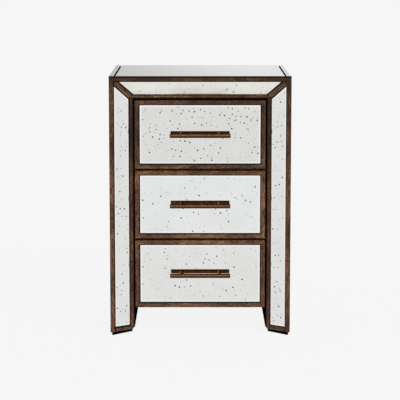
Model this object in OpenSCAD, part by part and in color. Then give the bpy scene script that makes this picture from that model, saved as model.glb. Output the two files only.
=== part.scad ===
// Mirrored nightstand with three drawers behind a splayed, bevelled front frame.
// Millimetres. Origin on the floor under the middle, +Z up, the front faces -Y.

/* [Body] */
// Overall width over the side mouldings
body_w = 450; // [400:1:520]
// Overall depth, front edge to back edge
body_d = 400; // [390:1:460]
// Thickness of the black plinth pads under the two legs
plinth_h = 9; // [5:0.5:15]
// How far the plinth pads stand in from the sides and the back
plinth_inset = 3.5; // [2:0.5:8]
// How far the plinth pads stand in from the opening
plinth_inner = 7; // [2:0.5:12]
// How far the front edge of the plinth pads stands back at its outer end
plinth_front = 12; // [8:0.5:16]
// How much further back the inner end of that edge lies
plinth_slant = 46; // [40:0.5:50]
// Thickness of the carcass boards
board_t = 12; // [10:0.5:14]
// Thickness of the back panel
back_t = 6; // [4:0.5:9]
// Depth of the cross rails behind the drawer fronts
rail_depth = 60; // [40:1:90]
// Small 45 degree cut on the lower outer corner of each leg
outer_chamfer = 2.5; // [1:0.5:3.5]
// Larger 45 degree cut on the lower inner corner of each leg
inner_chamfer = 5; // [2:0.5:6]

/* [Splayed front] */
// Width of each splayed leg face, seen from the front
leg_run = 58; // [48:0.5:62]
// How far the lining of the opening shows beside the inner mouldings
inner_reveal = 1.8; // [0:0.2:3]
// How far the splayed faces run back to the drawers
recess = 42; // [36:0.5:48]
// Drop of the splayed header face, seen from the front
header_drop = 56; // [50:0.5:62]
// Upright band above the header splay
crown_h = 2.5; // [1.5:0.5:3.5]
// Width of the outer moulding on the splay
outer_strip_w = 17; // [12:0.5:20]
// Width of the inner moulding on the splay
inner_strip_w = 10.5; // [9:0.5:15]
// Half width of the moulding over the corner mitre
mitre_half_w = 7.5; // [5:0.5:8.5]
// Height of the moulding at the bottom of the leg face
foot_strip_h = 12.5; // [10:0.5:20]
// Length of the short block at the outer end of that moulding
foot_block = 16; // [8:0.5:24]

/* [Mouldings and glass] */
// Glue line where two lengths of wood meet
glue_line = 0.1; // [0.05:0.05:0.3]
// Height of the mouldings above the board that they are glued to
strip_t = 7; // [6:0.5:9]
// Thickness of the mirror glass
glass_t = 4; // [3:0.5:5]
// Width of the mouldings that frame the mirrored sides
side_strip_w = 18; // [16:0.5:24]
// Width of the narrow mirror strips along the edges of the top
top_edge_w = 12; // [9:0.5:18]
// Black groove between the top mirror and its edge strips
groove_w = 4; // [1.5:0.5:5]

/* [Drawer fronts] */
// Height of one drawer front
front_h = 173; // [169:1:182]
// Gap above, between and under the header at the drawer fronts
front_gap = 3.5; // [2.5:0.5:4.5]
// Gap between a drawer front and the lining beside it
side_gap = 1.2; // [1:0.1:3]
// Free height under the lowest drawer
clear_h = 65; // [55:1:80]
// How far the drawer fronts lie behind the inner edge of the splay
front_set = 1; // [0:0.5:3]
// Width of the moulding round a drawer front
frame_w = 13.5; // [9:0.5:18]
// Running gap between a closed drawer front and the carcass behind it
closing_gap = 1; // [0.5:0.5:1.5]

/* [Drawer boxes] */
// Height of the drawer box sides
box_h = 130; // [100:1:135]
// Free space between a closed drawer box and the back panel
box_end_gap = 22; // [5:1:60]
// Height of the box above the lower edge of its front
box_lift = 18; // [17:0.5:22]
// Thickness of the drawer bottom panel
box_bottom_t = 6; // [4:0.5:8]
// Lower edge of the bottom panel above the lower edge of the box sides
box_bottom_up = 8; // [5:0.5:12]
// Depth of the groove that holds the bottom panel
box_groove = 6; // [3:0.5:8]

/* [Runners] */
// Space for a telescopic runner between drawer box and carcass
runner_space = 12.7; // [12.5:0.1:14]
// Height of the runner
runner_h = 45; // [35:0.5:50]
// Free space between the closed runners and the back panel
runner_end_gap = 31; // [5:1:80]
// Sheet thickness of the runner members
runner_sheet = 1.5; // [1.2:0.1:1.8]
// Running clearance between the runner members
runner_clear = 0.3; // [0.2:0.05:0.4]

/* [Bar pulls] */
// Diameter of the round bar
bar_d = 11; // [8:0.5:12]
// Length of the bar
bar_len = 151; // [130:1:180]
// Distance between the two posts
post_pitch = 96; // [64:1:112]
// Diameter of the posts
post_d = 8; // [6:0.5:8]
// Distance from the face of the glass to the middle of the bar
bar_reach = 31; // [22:0.5:33]
// Small chamfer at the ends of the bar
bar_chamfer = 0.6; // [0.2:0.1:1]

/* [Fasteners] */
// Thread diameter of the screws that hold the pulls
pull_screw_d = 4; // [3:0.5:5]
// How far the pull screws reach into the posts
screw_bite = 6; // [4:0.5:10]
// Screws that hold each side of the back panel
back_screw_count = 5; // [3:1:8]
// Distance of the first and last back screw from the ends of the boards
back_screw_inset = 31; // [15:1:60]
// Distance of the runner screws from the ends of the runner
runner_screw_inset = 40; // [20:1:80]
// Shank diameter of the wood screws
wood_screw_d = 3.2; // [2.5:0.1:4]
// Length of the wood screws
wood_screw_len = 11; // [8:0.5:12]
// Height of the screw heads that stand proud
screw_head_h = 2.2; // [1.5:0.1:3]
// Radial clearance round the screws and posts
screw_clear = 0.05; // [0.02:0.01:0.1]

/* [Hidden] */

$fn = 48;

frame_color = "#5f4735";
glass_color = "#d9dad8";
black_color = "#161412";
box_color = "#a08566";
bronze_color = "#64452c";
zinc_color = "#b9bcbf";

half_w = body_w / 2;
front_y = -body_d / 2;
back_y = body_d / 2;

// Heights, from the floor up
opening_top = clear_h + 3 * (front_h + front_gap);
splay_top = opening_top + header_drop;
body_h = splay_top + crown_h;
glass_base = body_h - glass_t;
carcass_top = glass_base - board_t;
bottom_z = clear_h + 2;

// Depths and widths of the carcass
splay_half = half_w - leg_run;
opening_half = splay_half - inner_reveal;
side_face = half_w - strip_t;
side_back = side_face - board_t;
inner_back = opening_half + board_t;
panel_y = back_y - back_t;

// Splay of the legs: s runs along the face from the outer edge, t goes down into it
leg_len = norm([leg_run, recess]);
leg_angle = atan2(recess, leg_run);
leg_sin = recess / leg_len;
leg_cos = leg_run / leg_len;
// Splay of the header, the same way
head_len = norm([header_drop, recess]);
head_angle = atan2(recess, header_drop);
head_sin = recess / head_len;
head_cos = header_drop / head_len;
head_scale = head_len / leg_len;
inner_s = leg_len - inner_strip_w;
board_back_t = strip_t + board_t;

// Slope of the corner mitre within the leg face and within the header face
leg_mitre = atan2(header_drop, leg_len);
head_mitre = atan2(leg_run, head_len);

// Front edge of the top glass, where the back of the header moulding reaches the board
glass_front = front_y + (strip_t + (splay_top - glass_base) * head_sin) / head_cos;

// Drawer depths
frame_y = front_y + recess + front_set;
front_board_y = frame_y + strip_t;
front_back_y = front_board_y + board_t;
front_half = opening_half - side_gap;
glass_y = front_board_y - glass_t;
box_half = opening_half - runner_space;
carcass_y = front_back_y + closing_gap;
box_back_y = panel_y - box_end_gap;
runner_end_y = panel_y - runner_end_gap;
box_inner = box_half - board_t;
runner_z = box_lift + box_h / 2;
bar_y = glass_y - bar_reach;
front_mid = front_h / 2;

screw_x = inner_back - board_t / 2;
back_screw_span = carcass_top - plinth_h - 2 * back_screw_inset;
back_screw_rows = [
    for (i = [0 : back_screw_count - 1])
        plinth_h + back_screw_inset + i * back_screw_span / (back_screw_count - 1)
];
runner_screw_ys = [carcass_y + runner_screw_inset, runner_end_y - runner_screw_inset];
web_screw_len = wood_screw_len - runner_sheet;
far = 2 * body_h;
layers = [0, 1, 2];

// Bottom of drawer front number i, counted from the floor
function drawer_z(i) = clear_h + i * (front_h + front_gap);

// Everything on the +n side of a plane through the origin
module half_space(n) {
    rotate([0, acos(n[2] / norm(n)), atan2(n[1], n[0])])
        translate([-far, -far, 0])
            cube(2 * far);
}

// Everything above the mitre plane of the left front corner
module above_mitre() {
    translate([-half_w, front_y, splay_top])
        half_space([leg_sin, head_cos - leg_cos, head_sin]);
}

// Frame of the left leg face: x = s, y = t, z = height
module leg_frame() {
    translate([-half_w, front_y, 0])
        rotate([0, 0, leg_angle])
            children();
}

// Frame of the header face: x across, y = t, z = -s
module head_frame() {
    translate([0, front_y, splay_top])
        rotate([head_angle, 0, 0])
            children();
}

// Everything deeper than t under the left leg face
module behind_leg_face(t) {
    leg_frame()
        translate([-far, t, -far])
            cube(2 * far);
}

// Everything deeper than t under the header face
module behind_header_face(t) {
    head_frame()
        translate([-far, t, -far])
            cube(2 * far);
}

// An outline in the s and height plane of the leg face, between two depths
module leg_plate(points, t0, t1) {
    leg_frame()
        translate([0, t1, 0])
            rotate([90, 0, 0])
                linear_extrude(t1 - t0)
                    polygon(points);
}

// An outline in the x and -s plane of the header face, between two depths
module head_plate(points, t0, t1) {
    head_frame()
        translate([0, t1, 0])
            rotate([90, 0, 0])
                linear_extrude(t1 - t0)
                    polygon(points);
}

// A box from its low corner to its high corner
module block(low, high) {
    translate(low)
        cube(high - low);
}

// The same piece on the right-hand side
module other_side() {
    mirror([1, 0, 0])
        children();
}

// The same piece on both sides
module both_sides() {
    children();
    other_side()
        children();
}

// A 45 degree cut along an edge that runs in the depth direction
module edge_cut(x, z, size) {
    translate([x, 0, z])
        rotate([0, 45, 0])
            cube([size * sqrt(2), far, size * sqrt(2)], center = true);
}

// Round bar or hole from one depth to another, along Y
module rod_y(x, z, r, y0, y1) {
    translate([x, y0, z])
        rotate([-90, 0, 0])
            cylinder(h = y1 - y0, r = r);
}

// Carcass boards

module top_board() {
    color(black_color)
        intersection() {
            block([-side_face, front_y, carcass_top], [side_face, back_y, glass_base]);
            behind_header_face(board_back_t);
        }
}

module bottom_board() {
    color(black_color)
        block([-opening_half, carcass_y, bottom_z], [opening_half, panel_y, bottom_z + board_t]);
}

module back_panel() {
    color(black_color)
        difference() {
            block([-side_back, panel_y, plinth_h], [side_back, back_y, carcass_top]);
            block([-opening_half, panel_y - 1, 0], [opening_half, back_y + 1, bottom_z]);
            back_screw_holes();
        }
}

module header_board() {
    color(black_color)
        difference() {
            intersection() {
                block([-side_face, front_y, opening_top], [side_face, 0, glass_base]);
                behind_header_face(strip_t);
                above_mitre();
                other_side()
                    above_mitre();
            }
            behind_header_face(board_back_t);
        }
}

// Space taken by the header and its board, above the left mitre
module header_zone() {
    difference() {
        above_mitre();
        behind_header_face(board_back_t);
    }
}

module leg_battens() {
    color(box_color)
        both_sides()
            for (z = [plinth_h, (plinth_h + carcass_top - 2 * board_t) / 2, carcass_top - 2 * board_t])
                intersection() {
                    block([-side_back, front_y, z], [-inner_back, panel_y, z + 2 * board_t]);
                    behind_leg_face(board_back_t);
                }
}

module cross_rails() {
    rail_zs = [for (i = [1, 2]) drawer_z(i) - front_gap / 2 - board_t / 2];
    color(box_color) {
        for (z = rail_zs)
            block([-opening_half, carcass_y, z], [opening_half, carcass_y + rail_depth, z + board_t]);
        intersection() {
            block([-opening_half, front_y, opening_top],
                [opening_half, carcass_y + rail_depth, opening_top + board_t]);
            behind_header_face(board_back_t);
        }
    }
}

module side_board() {
    color(black_color)
        intersection() {
            block([-side_face, front_y, plinth_h], [-side_back, back_y, carcass_top]);
            behind_leg_face(board_back_t);
        }
}

module inner_side() {
    color(black_color)
        difference() {
            intersection() {
                block([-inner_back, front_y, plinth_h], [-opening_half, panel_y, carcass_top]);
                behind_leg_face(strip_t);
            }
            header_zone();
            edge_cut(-opening_half, plinth_h, inner_chamfer);
            runner_screw_holes();
            back_screw_holes();
        }
}

module splay_board() {
    color(black_color)
        difference() {
            intersection() {
                block([-side_face, front_y, plinth_h], [-inner_back, 0, splay_top]);
                behind_leg_face(strip_t);
            }
            behind_leg_face(board_back_t);
            above_mitre();
        }
}

module plinth() {
    outer_x = -half_w + plinth_inset;
    inner_x = -opening_half - plinth_inner;
    color(black_color)
        linear_extrude(plinth_h)
            polygon([
                [outer_x, front_y + plinth_front],
                [inner_x, front_y + plinth_front + plinth_slant],
                [inner_x, back_y - plinth_inset],
                [outer_x, back_y - plinth_inset]
            ]);
}

module side_board_left() side_board();
module side_board_right() other_side() side_board();
module inner_side_left() inner_side();
module inner_side_right() other_side() inner_side();
module splay_board_left() splay_board();
module splay_board_right() other_side() splay_board();
module plinth_left() plinth();
module plinth_right() other_side() plinth();

// Mouldings

// Corner moulding: a splayed front band and a band on the side, mitred under the header moulding
module corner_post() {
    band = [outer_strip_w * leg_cos, outer_strip_w * leg_sin];
    depth = [-strip_t * leg_sin, strip_t * leg_cos];
    start = [-half_w, front_y];
    corner_y = front_y + strip_t * (1 + leg_sin) / leg_cos;
    color(frame_color)
        difference() {
            linear_extrude(body_h)
                polygon([
                    start,
                    start + band,
                    start + band + depth,
                    [-side_face, corner_y],
                    [-side_face, front_y + side_strip_w],
                    [-half_w, front_y + side_strip_w]
                ]);
            block([-far, -far, -1], [far, far, plinth_h]);
            block([-far, glass_front, glass_base], [far, far, far]);
            edge_cut(-half_w, plinth_h, outer_chamfer);
            header_moulding_zone();
            intersection() {
                above_mitre();
                block([-side_face, -far, 0], [0, far, far]);
            }
        }
}

// Cross-section of the header moulding, carried across the front
module header_moulding() {
    band = [outer_strip_w * head_scale * head_sin, -outer_strip_w * head_scale * head_cos];
    depth = [strip_t * head_cos, strip_t * head_sin];
    start = [front_y, splay_top];
    translate([-half_w, 0, 0])
        rotate([90, 0, 90])
            linear_extrude(body_w)
                polygon([
                    [front_y, body_h],
                    start,
                    start + band,
                    start + band + depth,
                    [glass_front, glass_base],
                    [glass_front, body_h]
                ]);
}

module header_moulding_zone() {
    intersection() {
        header_moulding();
        above_mitre();
    }
}

module header_strip() {
    color(frame_color)
        intersection() {
            header_moulding();
            above_mitre();
            other_side()
                above_mitre();
        }
}

module header_inner_strip() {
    inner = inner_s * head_scale;
    color(frame_color)
        difference() {
            intersection() {
                head_plate([
                    [-half_w, -inner],
                    [half_w, -inner],
                    [half_w, -head_len - strip_t],
                    [-half_w, -head_len - strip_t]
                ], 0, strip_t);
                above_mitre();
                other_side()
                    above_mitre();
            }
            block([-far, -far, 0], [far, far, opening_top]);
        }
}

// Moulding over the corner mitre: a strip on the leg face and one on the header face
module mitre_strip() {
    leg_drop = mitre_half_w / cos(leg_mitre);
    head_in = mitre_half_w / cos(head_mitre);
    leg_slope = header_drop / leg_len;
    head_slope = leg_run / head_len;
    s0 = outer_strip_w;
    s1 = inner_s - glue_line;
    h0 = s0 * head_scale;
    h1 = s1 * head_scale;
    difference() {
        leg_plate([
            [s0, splay_top],
            [s0, splay_top - s0 * leg_slope - leg_drop],
            [s1, splay_top - s1 * leg_slope - leg_drop],
            [s1, splay_top]
        ], 0, strip_t);
        above_mitre();
    }
    intersection() {
        head_plate([
            [-half_w, -h0],
            [-half_w, -h1],
            [-half_w + h1 * head_slope + head_in, -h1],
            [-half_w + h0 * head_slope + head_in, -h0]
        ], 0, strip_t);
        translate([0, 0, glue_line])
            above_mitre();
    }
}

module splay_inner_strip() {
    difference() {
        leg_plate([
            [inner_s, plinth_h],
            [leg_len + strip_t, plinth_h],
            [leg_len + strip_t, splay_top],
            [inner_s, splay_top]
        ], 0, strip_t);
        above_mitre();
        block([-splay_half, -far, 0], [far, far, far]);
        edge_cut(-splay_half, plinth_h, inner_chamfer);
    }
}

// Moulding at the foot of the leg face, as a short block and a longer length
module foot_strip() {
    foot_top = plinth_h + foot_strip_h;
    joint = outer_strip_w + foot_block;
    for (span = [[outer_strip_w, joint - glue_line], [joint, inner_s - glue_line]])
        leg_plate([
            [span[0], plinth_h],
            [span[1], plinth_h],
            [span[1], foot_top],
            [span[0], foot_top]
        ], 0, strip_t);
}

module splay_frame() {
    color(frame_color) {
        splay_inner_strip();
        foot_strip();
        mitre_strip();
    }
}

// Rear post and two rails round the side mirror
module side_frame() {
    y0 = front_y + side_strip_w;
    y1 = back_y - side_strip_w;
    color(frame_color)
        difference() {
            union() {
                block([-half_w, y1, plinth_h], [-side_face, back_y, glass_base]);
                for (z = [plinth_h, glass_base - side_strip_w])
                    block([-half_w, y0, z], [-side_face, y1 - glue_line, z + side_strip_w]);
            }
            edge_cut(-half_w, plinth_h, outer_chamfer);
        }
}

module corner_post_left() corner_post();
module corner_post_right() other_side() corner_post();
module side_frame_left() side_frame();
module side_frame_right() other_side() side_frame();
module splay_frame_left() splay_frame();
module splay_frame_right() other_side() splay_frame();

// Mirror glass

module top_glass() {
    half = half_w - top_edge_w - groove_w;
    color(glass_color)
        block([-half, glass_front, glass_base], [half, back_y, body_h]);
}

module top_edge_glass() {
    color(glass_color)
        both_sides()
            block([-half_w, glass_front, glass_base], [-half_w + top_edge_w, back_y, body_h]);
}

module header_glass() {
    head_in = mitre_half_w / cos(head_mitre);
    head_slope = leg_run / head_len;
    h0 = outer_strip_w * head_scale;
    h1 = inner_s * head_scale;
    x0 = half_w - h0 * head_slope - head_in;
    x1 = half_w - h1 * head_slope - head_in;
    color(glass_color)
        head_plate([[-x0, -h0], [-x1, -h1], [x1, -h1], [x0, -h0]], strip_t - glass_t, strip_t);
}

module splay_glass() {
    leg_drop = mitre_half_w / cos(leg_mitre);
    leg_slope = header_drop / leg_len;
    foot_top = plinth_h + foot_strip_h;
    color(glass_color)
        leg_plate([
            [outer_strip_w, foot_top],
            [inner_s, foot_top],
            [inner_s, splay_top - inner_s * leg_slope - leg_drop],
            [outer_strip_w, splay_top - outer_strip_w * leg_slope - leg_drop]
        ], strip_t - glass_t, strip_t);
}

module side_glass() {
    color(glass_color)
        block(
            [-side_face - glass_t, front_y + side_strip_w, plinth_h + side_strip_w],
            [-side_face, back_y - side_strip_w, glass_base - side_strip_w]
        );
}

module splay_glass_left() splay_glass();
module splay_glass_right() other_side() splay_glass();
module side_glass_left() side_glass();
module side_glass_right() other_side() side_glass();

// Runners: three nested channels on each side of each drawer

// Channel on the left, open towards +X, from x0 with the given half height and flange reach
module channel(x0, half, reach) {
    difference() {
        block([x0, carcass_y, -half], [x0 + reach, runner_end_y, half]);
        block(
            [x0 + runner_sheet, carcass_y - 1, -half + runner_sheet],
            [x0 + reach + 1, runner_end_y + 1, half - runner_sheet]
        );
    }
}

runner_reach = runner_space - runner_sheet - 2 * runner_clear;
link_reach = runner_space - 2 * runner_sheet - 2 * runner_clear;
link_half = runner_h / 2 - runner_sheet - runner_clear;
inner_half = link_half - runner_sheet - runner_clear;
inner_reach = runner_space - 2 * (runner_sheet + runner_clear);

// Member screwed to the carcass
module outer_member() {
    channel(-opening_half, runner_h / 2, runner_reach);
}

// Member between the other two
module link_member() {
    channel(-opening_half + runner_sheet + runner_clear, link_half, link_reach);
}

// Member screwed to the drawer box, open towards the carcass
module inner_member() {
    mirror([1, 0, 0])
        channel(box_half, inner_half, inner_reach);
}

// Countersunk wood screw along -X with its head flush at x0, or the hole for it
module web_screw(x0, y, extra) {
    translate([x0, y, 0])
        rotate([0, -90, 0]) {
            cylinder(h = runner_sheet, r1 = wood_screw_d + extra, r2 = wood_screw_d / 2 + extra);
            translate([0, 0, runner_sheet])
                cylinder(h = web_screw_len, r = wood_screw_d / 2 + extra);
        }
}

module outer_screws(extra) {
    for (y = runner_screw_ys)
        web_screw(-opening_half + runner_sheet, y, extra);
}

module inner_screws(extra) {
    for (y = runner_screw_ys)
        mirror([1, 0, 0])
            web_screw(box_half + runner_sheet, y, extra);
}

// Holes in the left inner side for the runner screws of all three drawers
module runner_screw_holes() {
    for (i = layers)
        translate([0, 0, drawer_z(i) + runner_z])
            outer_screws(screw_clear);
}

module cabinet_runners() {
    color(zinc_color)
        both_sides()
            for (i = layers)
                translate([0, 0, drawer_z(i) + runner_z])
                    difference() {
                        outer_member();
                        outer_screws(screw_clear);
                    }
}

module cabinet_runner_screws() {
    color(zinc_color)
        both_sides()
            for (i = layers)
                translate([0, 0, drawer_z(i) + runner_z])
                    outer_screws(0);
}

// Countersunk screws through the back panel on the left, or the holes for them
module back_screw_row(extra) {
    head = wood_screw_d / 2;
    for (z = back_screw_rows)
        translate([-screw_x, back_y, z])
            rotate([90, 0, 0]) {
                cylinder(h = head, r1 = wood_screw_d + extra, r2 = wood_screw_d / 2 + extra);
                translate([0, 0, head])
                    cylinder(h = wood_screw_len - head, r = wood_screw_d / 2 + extra);
            }
}

module back_screw_holes() {
    both_sides()
        back_screw_row(screw_clear);
}

module back_screws() {
    color(zinc_color)
        both_sides()
            back_screw_row(0);
}

// Drawers, drawn with the lower edge of the front at z = 0

module at_drawer(i) {
    translate([0, 0, drawer_z(i)])
        children();
}

module pull_holes(y0, y1) {
    for (side = [-1, 1])
        rod_y(side * post_pitch / 2, front_mid, pull_screw_d / 2 + screw_clear, y0, y1);
}

module front_board() {
    color(black_color)
        difference() {
            block([-front_half, front_board_y, 0], [front_half, front_back_y, front_h]);
            pull_holes(front_board_y - 1, front_back_y + 1);
        }
}

// Mitred moulding round the glass, as four lengths
module front_frame() {
    w = frame_w;
    a = front_half;
    b = front_half - glue_line;
    h = front_h;
    outlines = [
        [[-b, 0], [b, 0], [b - w, w], [-b + w, w]],
        [[-b, h], [b, h], [b - w, h - w], [-b + w, h - w]],
        [[-a, 0], [-a + w, w], [-a + w, h - w], [-a, h]],
        [[a, 0], [a - w, w], [a - w, h - w], [a, h]]
    ];
    color(frame_color)
        for (outline = outlines)
            translate([0, front_board_y, 0])
                rotate([90, 0, 0])
                    linear_extrude(strip_t)
                        polygon(outline);
}

module front_glass() {
    color(glass_color)
        difference() {
            block([-front_half + frame_w, glass_y, frame_w],
                [front_half - frame_w, front_board_y, front_h - frame_w]);
            pull_holes(glass_y - 1, front_board_y + 1);
        }
}

module bottom_panel(groove) {
    x = box_inner + groove;
    z = box_lift + box_bottom_up;
    block([-x, front_back_y, z], [x, box_back_y - board_t + groove, z + box_bottom_t]);
}

module box_walls() {
    color(box_color)
        difference() {
            union() {
                both_sides()
                    difference() {
                        block([-box_half, front_back_y, box_lift], [-box_inner, box_back_y, box_lift + box_h]);
                        translate([0, 0, runner_z])
                            inner_screws(screw_clear);
                    }
                block(
                    [-box_inner + glue_line, box_back_y - board_t, box_lift],
                    [box_inner - glue_line, box_back_y, box_lift + box_h]
                );
            }
            bottom_panel(box_groove);
        }
}

module box_bottom() {
    color(box_color)
        bottom_panel(box_groove);
}

// Round bar on two posts, which stand in blind holes in the bar
module pull() {
    half = bar_len / 2;
    r = bar_d / 2;
    color(bronze_color) {
        difference() {
            translate([-half, bar_y, front_mid])
                rotate([0, 90, 0])
                    rotate_extrude()
                        polygon([
                            [0, 0],
                            [r - bar_chamfer, 0],
                            [r, bar_chamfer],
                            [r, bar_len - bar_chamfer],
                            [r - bar_chamfer, bar_len],
                            [0, bar_len]
                        ]);
            for (side = [-1, 1])
                rod_y(side * post_pitch / 2, front_mid, post_d / 2 + screw_clear, bar_y, glass_y);
        }
        difference() {
            for (side = [-1, 1])
                rod_y(side * post_pitch / 2, front_mid, post_d / 2, bar_y + glue_line, glass_y);
            pull_holes(glass_y - screw_bite - 1, glass_y + 1);
        }
    }
}

// Pull screws from inside the drawer, and the screws of the runner members on the box
module drawer_screws() {
    color(zinc_color) {
        for (side = [-1, 1]) {
            x = side * post_pitch / 2;
            rod_y(x, front_mid, pull_screw_d / 2, glass_y - screw_bite, front_back_y);
            rod_y(x, front_mid, pull_screw_d, front_back_y, front_back_y + screw_head_h);
        }
        translate([0, 0, runner_z])
            both_sides()
                inner_screws(0);
    }
}

module runner_inner() {
    color(zinc_color)
        translate([0, 0, runner_z])
            both_sides()
                difference() {
                    inner_member();
                    inner_screws(screw_clear);
                }
}

module runner_link() {
    color(zinc_color)
        translate([0, 0, runner_z])
            both_sides()
                link_member();
}

module lower_front_board() at_drawer(0) front_board();
module lower_front_frame() at_drawer(0) front_frame();
module lower_front_glass() at_drawer(0) front_glass();
module lower_box_walls() at_drawer(0) box_walls();
module lower_box_bottom() at_drawer(0) box_bottom();
module lower_pull() at_drawer(0) pull();
module lower_screws() at_drawer(0) drawer_screws();
module lower_runner_inner() at_drawer(0) runner_inner();
module lower_runner_link() at_drawer(0) runner_link();
module middle_front_board() at_drawer(1) front_board();
module middle_front_frame() at_drawer(1) front_frame();
module middle_front_glass() at_drawer(1) front_glass();
module middle_box_walls() at_drawer(1) box_walls();
module middle_box_bottom() at_drawer(1) box_bottom();
module middle_pull() at_drawer(1) pull();
module middle_screws() at_drawer(1) drawer_screws();
module middle_runner_inner() at_drawer(1) runner_inner();
module middle_runner_link() at_drawer(1) runner_link();
module upper_front_board() at_drawer(2) front_board();
module upper_front_frame() at_drawer(2) front_frame();
module upper_front_glass() at_drawer(2) front_glass();
module upper_box_walls() at_drawer(2) box_walls();
module upper_box_bottom() at_drawer(2) box_bottom();
module upper_pull() at_drawer(2) pull();
module upper_screws() at_drawer(2) drawer_screws();
module upper_runner_inner() at_drawer(2) runner_inner();
module upper_runner_link() at_drawer(2) runner_link();

top_board();
bottom_board();
back_panel();
header_board();
leg_battens();
cross_rails();
side_board_left();
side_board_right();
inner_side_left();
inner_side_right();
splay_board_left();
splay_board_right();
plinth_left();
plinth_right();
corner_post_left();
corner_post_right();
side_frame_left();
side_frame_right();
splay_frame_left();
splay_frame_right();
header_strip();
header_inner_strip();
top_glass();
top_edge_glass();
header_glass();
splay_glass_left();
splay_glass_right();
side_glass_left();
side_glass_right();
cabinet_runners();
cabinet_runner_screws();
back_screws();
lower_front_board();
lower_front_frame();
lower_front_glass();
lower_box_walls();
lower_box_bottom();
lower_pull();
lower_screws();
lower_runner_inner();
lower_runner_link();
middle_front_board();
middle_front_frame();
middle_front_glass();
middle_box_walls();
middle_box_bottom();
middle_pull();
middle_screws();
middle_runner_inner();
middle_runner_link();
upper_front_board();
upper_front_frame();
upper_front_glass();
upper_box_walls();
upper_box_bottom();
upper_pull();
upper_screws();
upper_runner_inner();
upper_runner_link();
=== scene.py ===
"""Mirrored nightstand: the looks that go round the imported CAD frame.

All lengths are in metres in the frame's own axes: the origin is on the floor
under the middle, +Z is up and the front faces -Y.
"""

from __future__ import annotations

import logging
import math
from dataclasses import dataclass, field
from enum import Enum
from typing import Any, Iterable, Sequence

import bmesh
import bpy
import numpy as np
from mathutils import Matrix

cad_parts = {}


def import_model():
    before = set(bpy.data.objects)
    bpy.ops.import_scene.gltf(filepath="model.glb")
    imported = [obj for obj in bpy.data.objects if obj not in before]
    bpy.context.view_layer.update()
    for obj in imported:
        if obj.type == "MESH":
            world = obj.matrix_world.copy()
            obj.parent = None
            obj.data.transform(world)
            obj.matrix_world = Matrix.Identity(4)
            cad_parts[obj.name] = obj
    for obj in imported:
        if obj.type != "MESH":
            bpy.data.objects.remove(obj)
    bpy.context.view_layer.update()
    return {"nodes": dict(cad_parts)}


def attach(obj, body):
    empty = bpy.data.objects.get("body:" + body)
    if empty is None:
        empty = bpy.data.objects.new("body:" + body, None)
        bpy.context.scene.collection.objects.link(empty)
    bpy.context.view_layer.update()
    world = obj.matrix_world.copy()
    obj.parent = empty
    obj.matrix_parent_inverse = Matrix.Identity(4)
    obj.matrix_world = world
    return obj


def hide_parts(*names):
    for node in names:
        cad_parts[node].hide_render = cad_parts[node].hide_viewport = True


LOG = logging.getLogger("nightstand")
OPEN = "open"

Array = np.ndarray
Rgba = tuple[float, float, float, float]
PER_METRE = 1000  # millimetres in a metre; patterns are sized in millimetres
TINY = 1e-6
SAME_POINT = 1e-7
SHARP_ANGLE = math.radians(32)  # edges sharper than this stay hard
MIRRORED_GRAIN = (0.31, 0.47)  # keeps the grain of the right side from repeating the left
FINE_RELIEF = 0.0001  # depth of orange peel, pores and brush lines
BOX_REAR = (0.1599, 0.1405)  # front face of a drawer box's rear wall, and half its width
SMOOTH = {"interpolation_type": "SMOOTHSTEP"}
BLEND = {"data_type": "RGBA"}
X = np.array([1.0, 0.0, 0.0])
Y = np.array([0.0, 1.0, 0.0])
Z = np.array([0.0, 0.0, 1.0])


class Slot(Enum):
    """Material slots, by name."""

    FRAME_WOOD = "frame_wood"
    MIRROR = "mirror_glass"
    BLACK = "black_board"
    PLAIN_WOOD = "plain_wood"
    BRONZE = "bronze"
    ZINC = "zinc_steel"


class Side(Enum):
    """The two hands of the cabinet, as in the names of its pieces."""

    LEFT = "left"
    RIGHT = "right"


class Layer(Enum):
    """The three drawers, counted from the floor."""

    LOWER = 0
    MIDDLE = 1
    UPPER = 2


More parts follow.
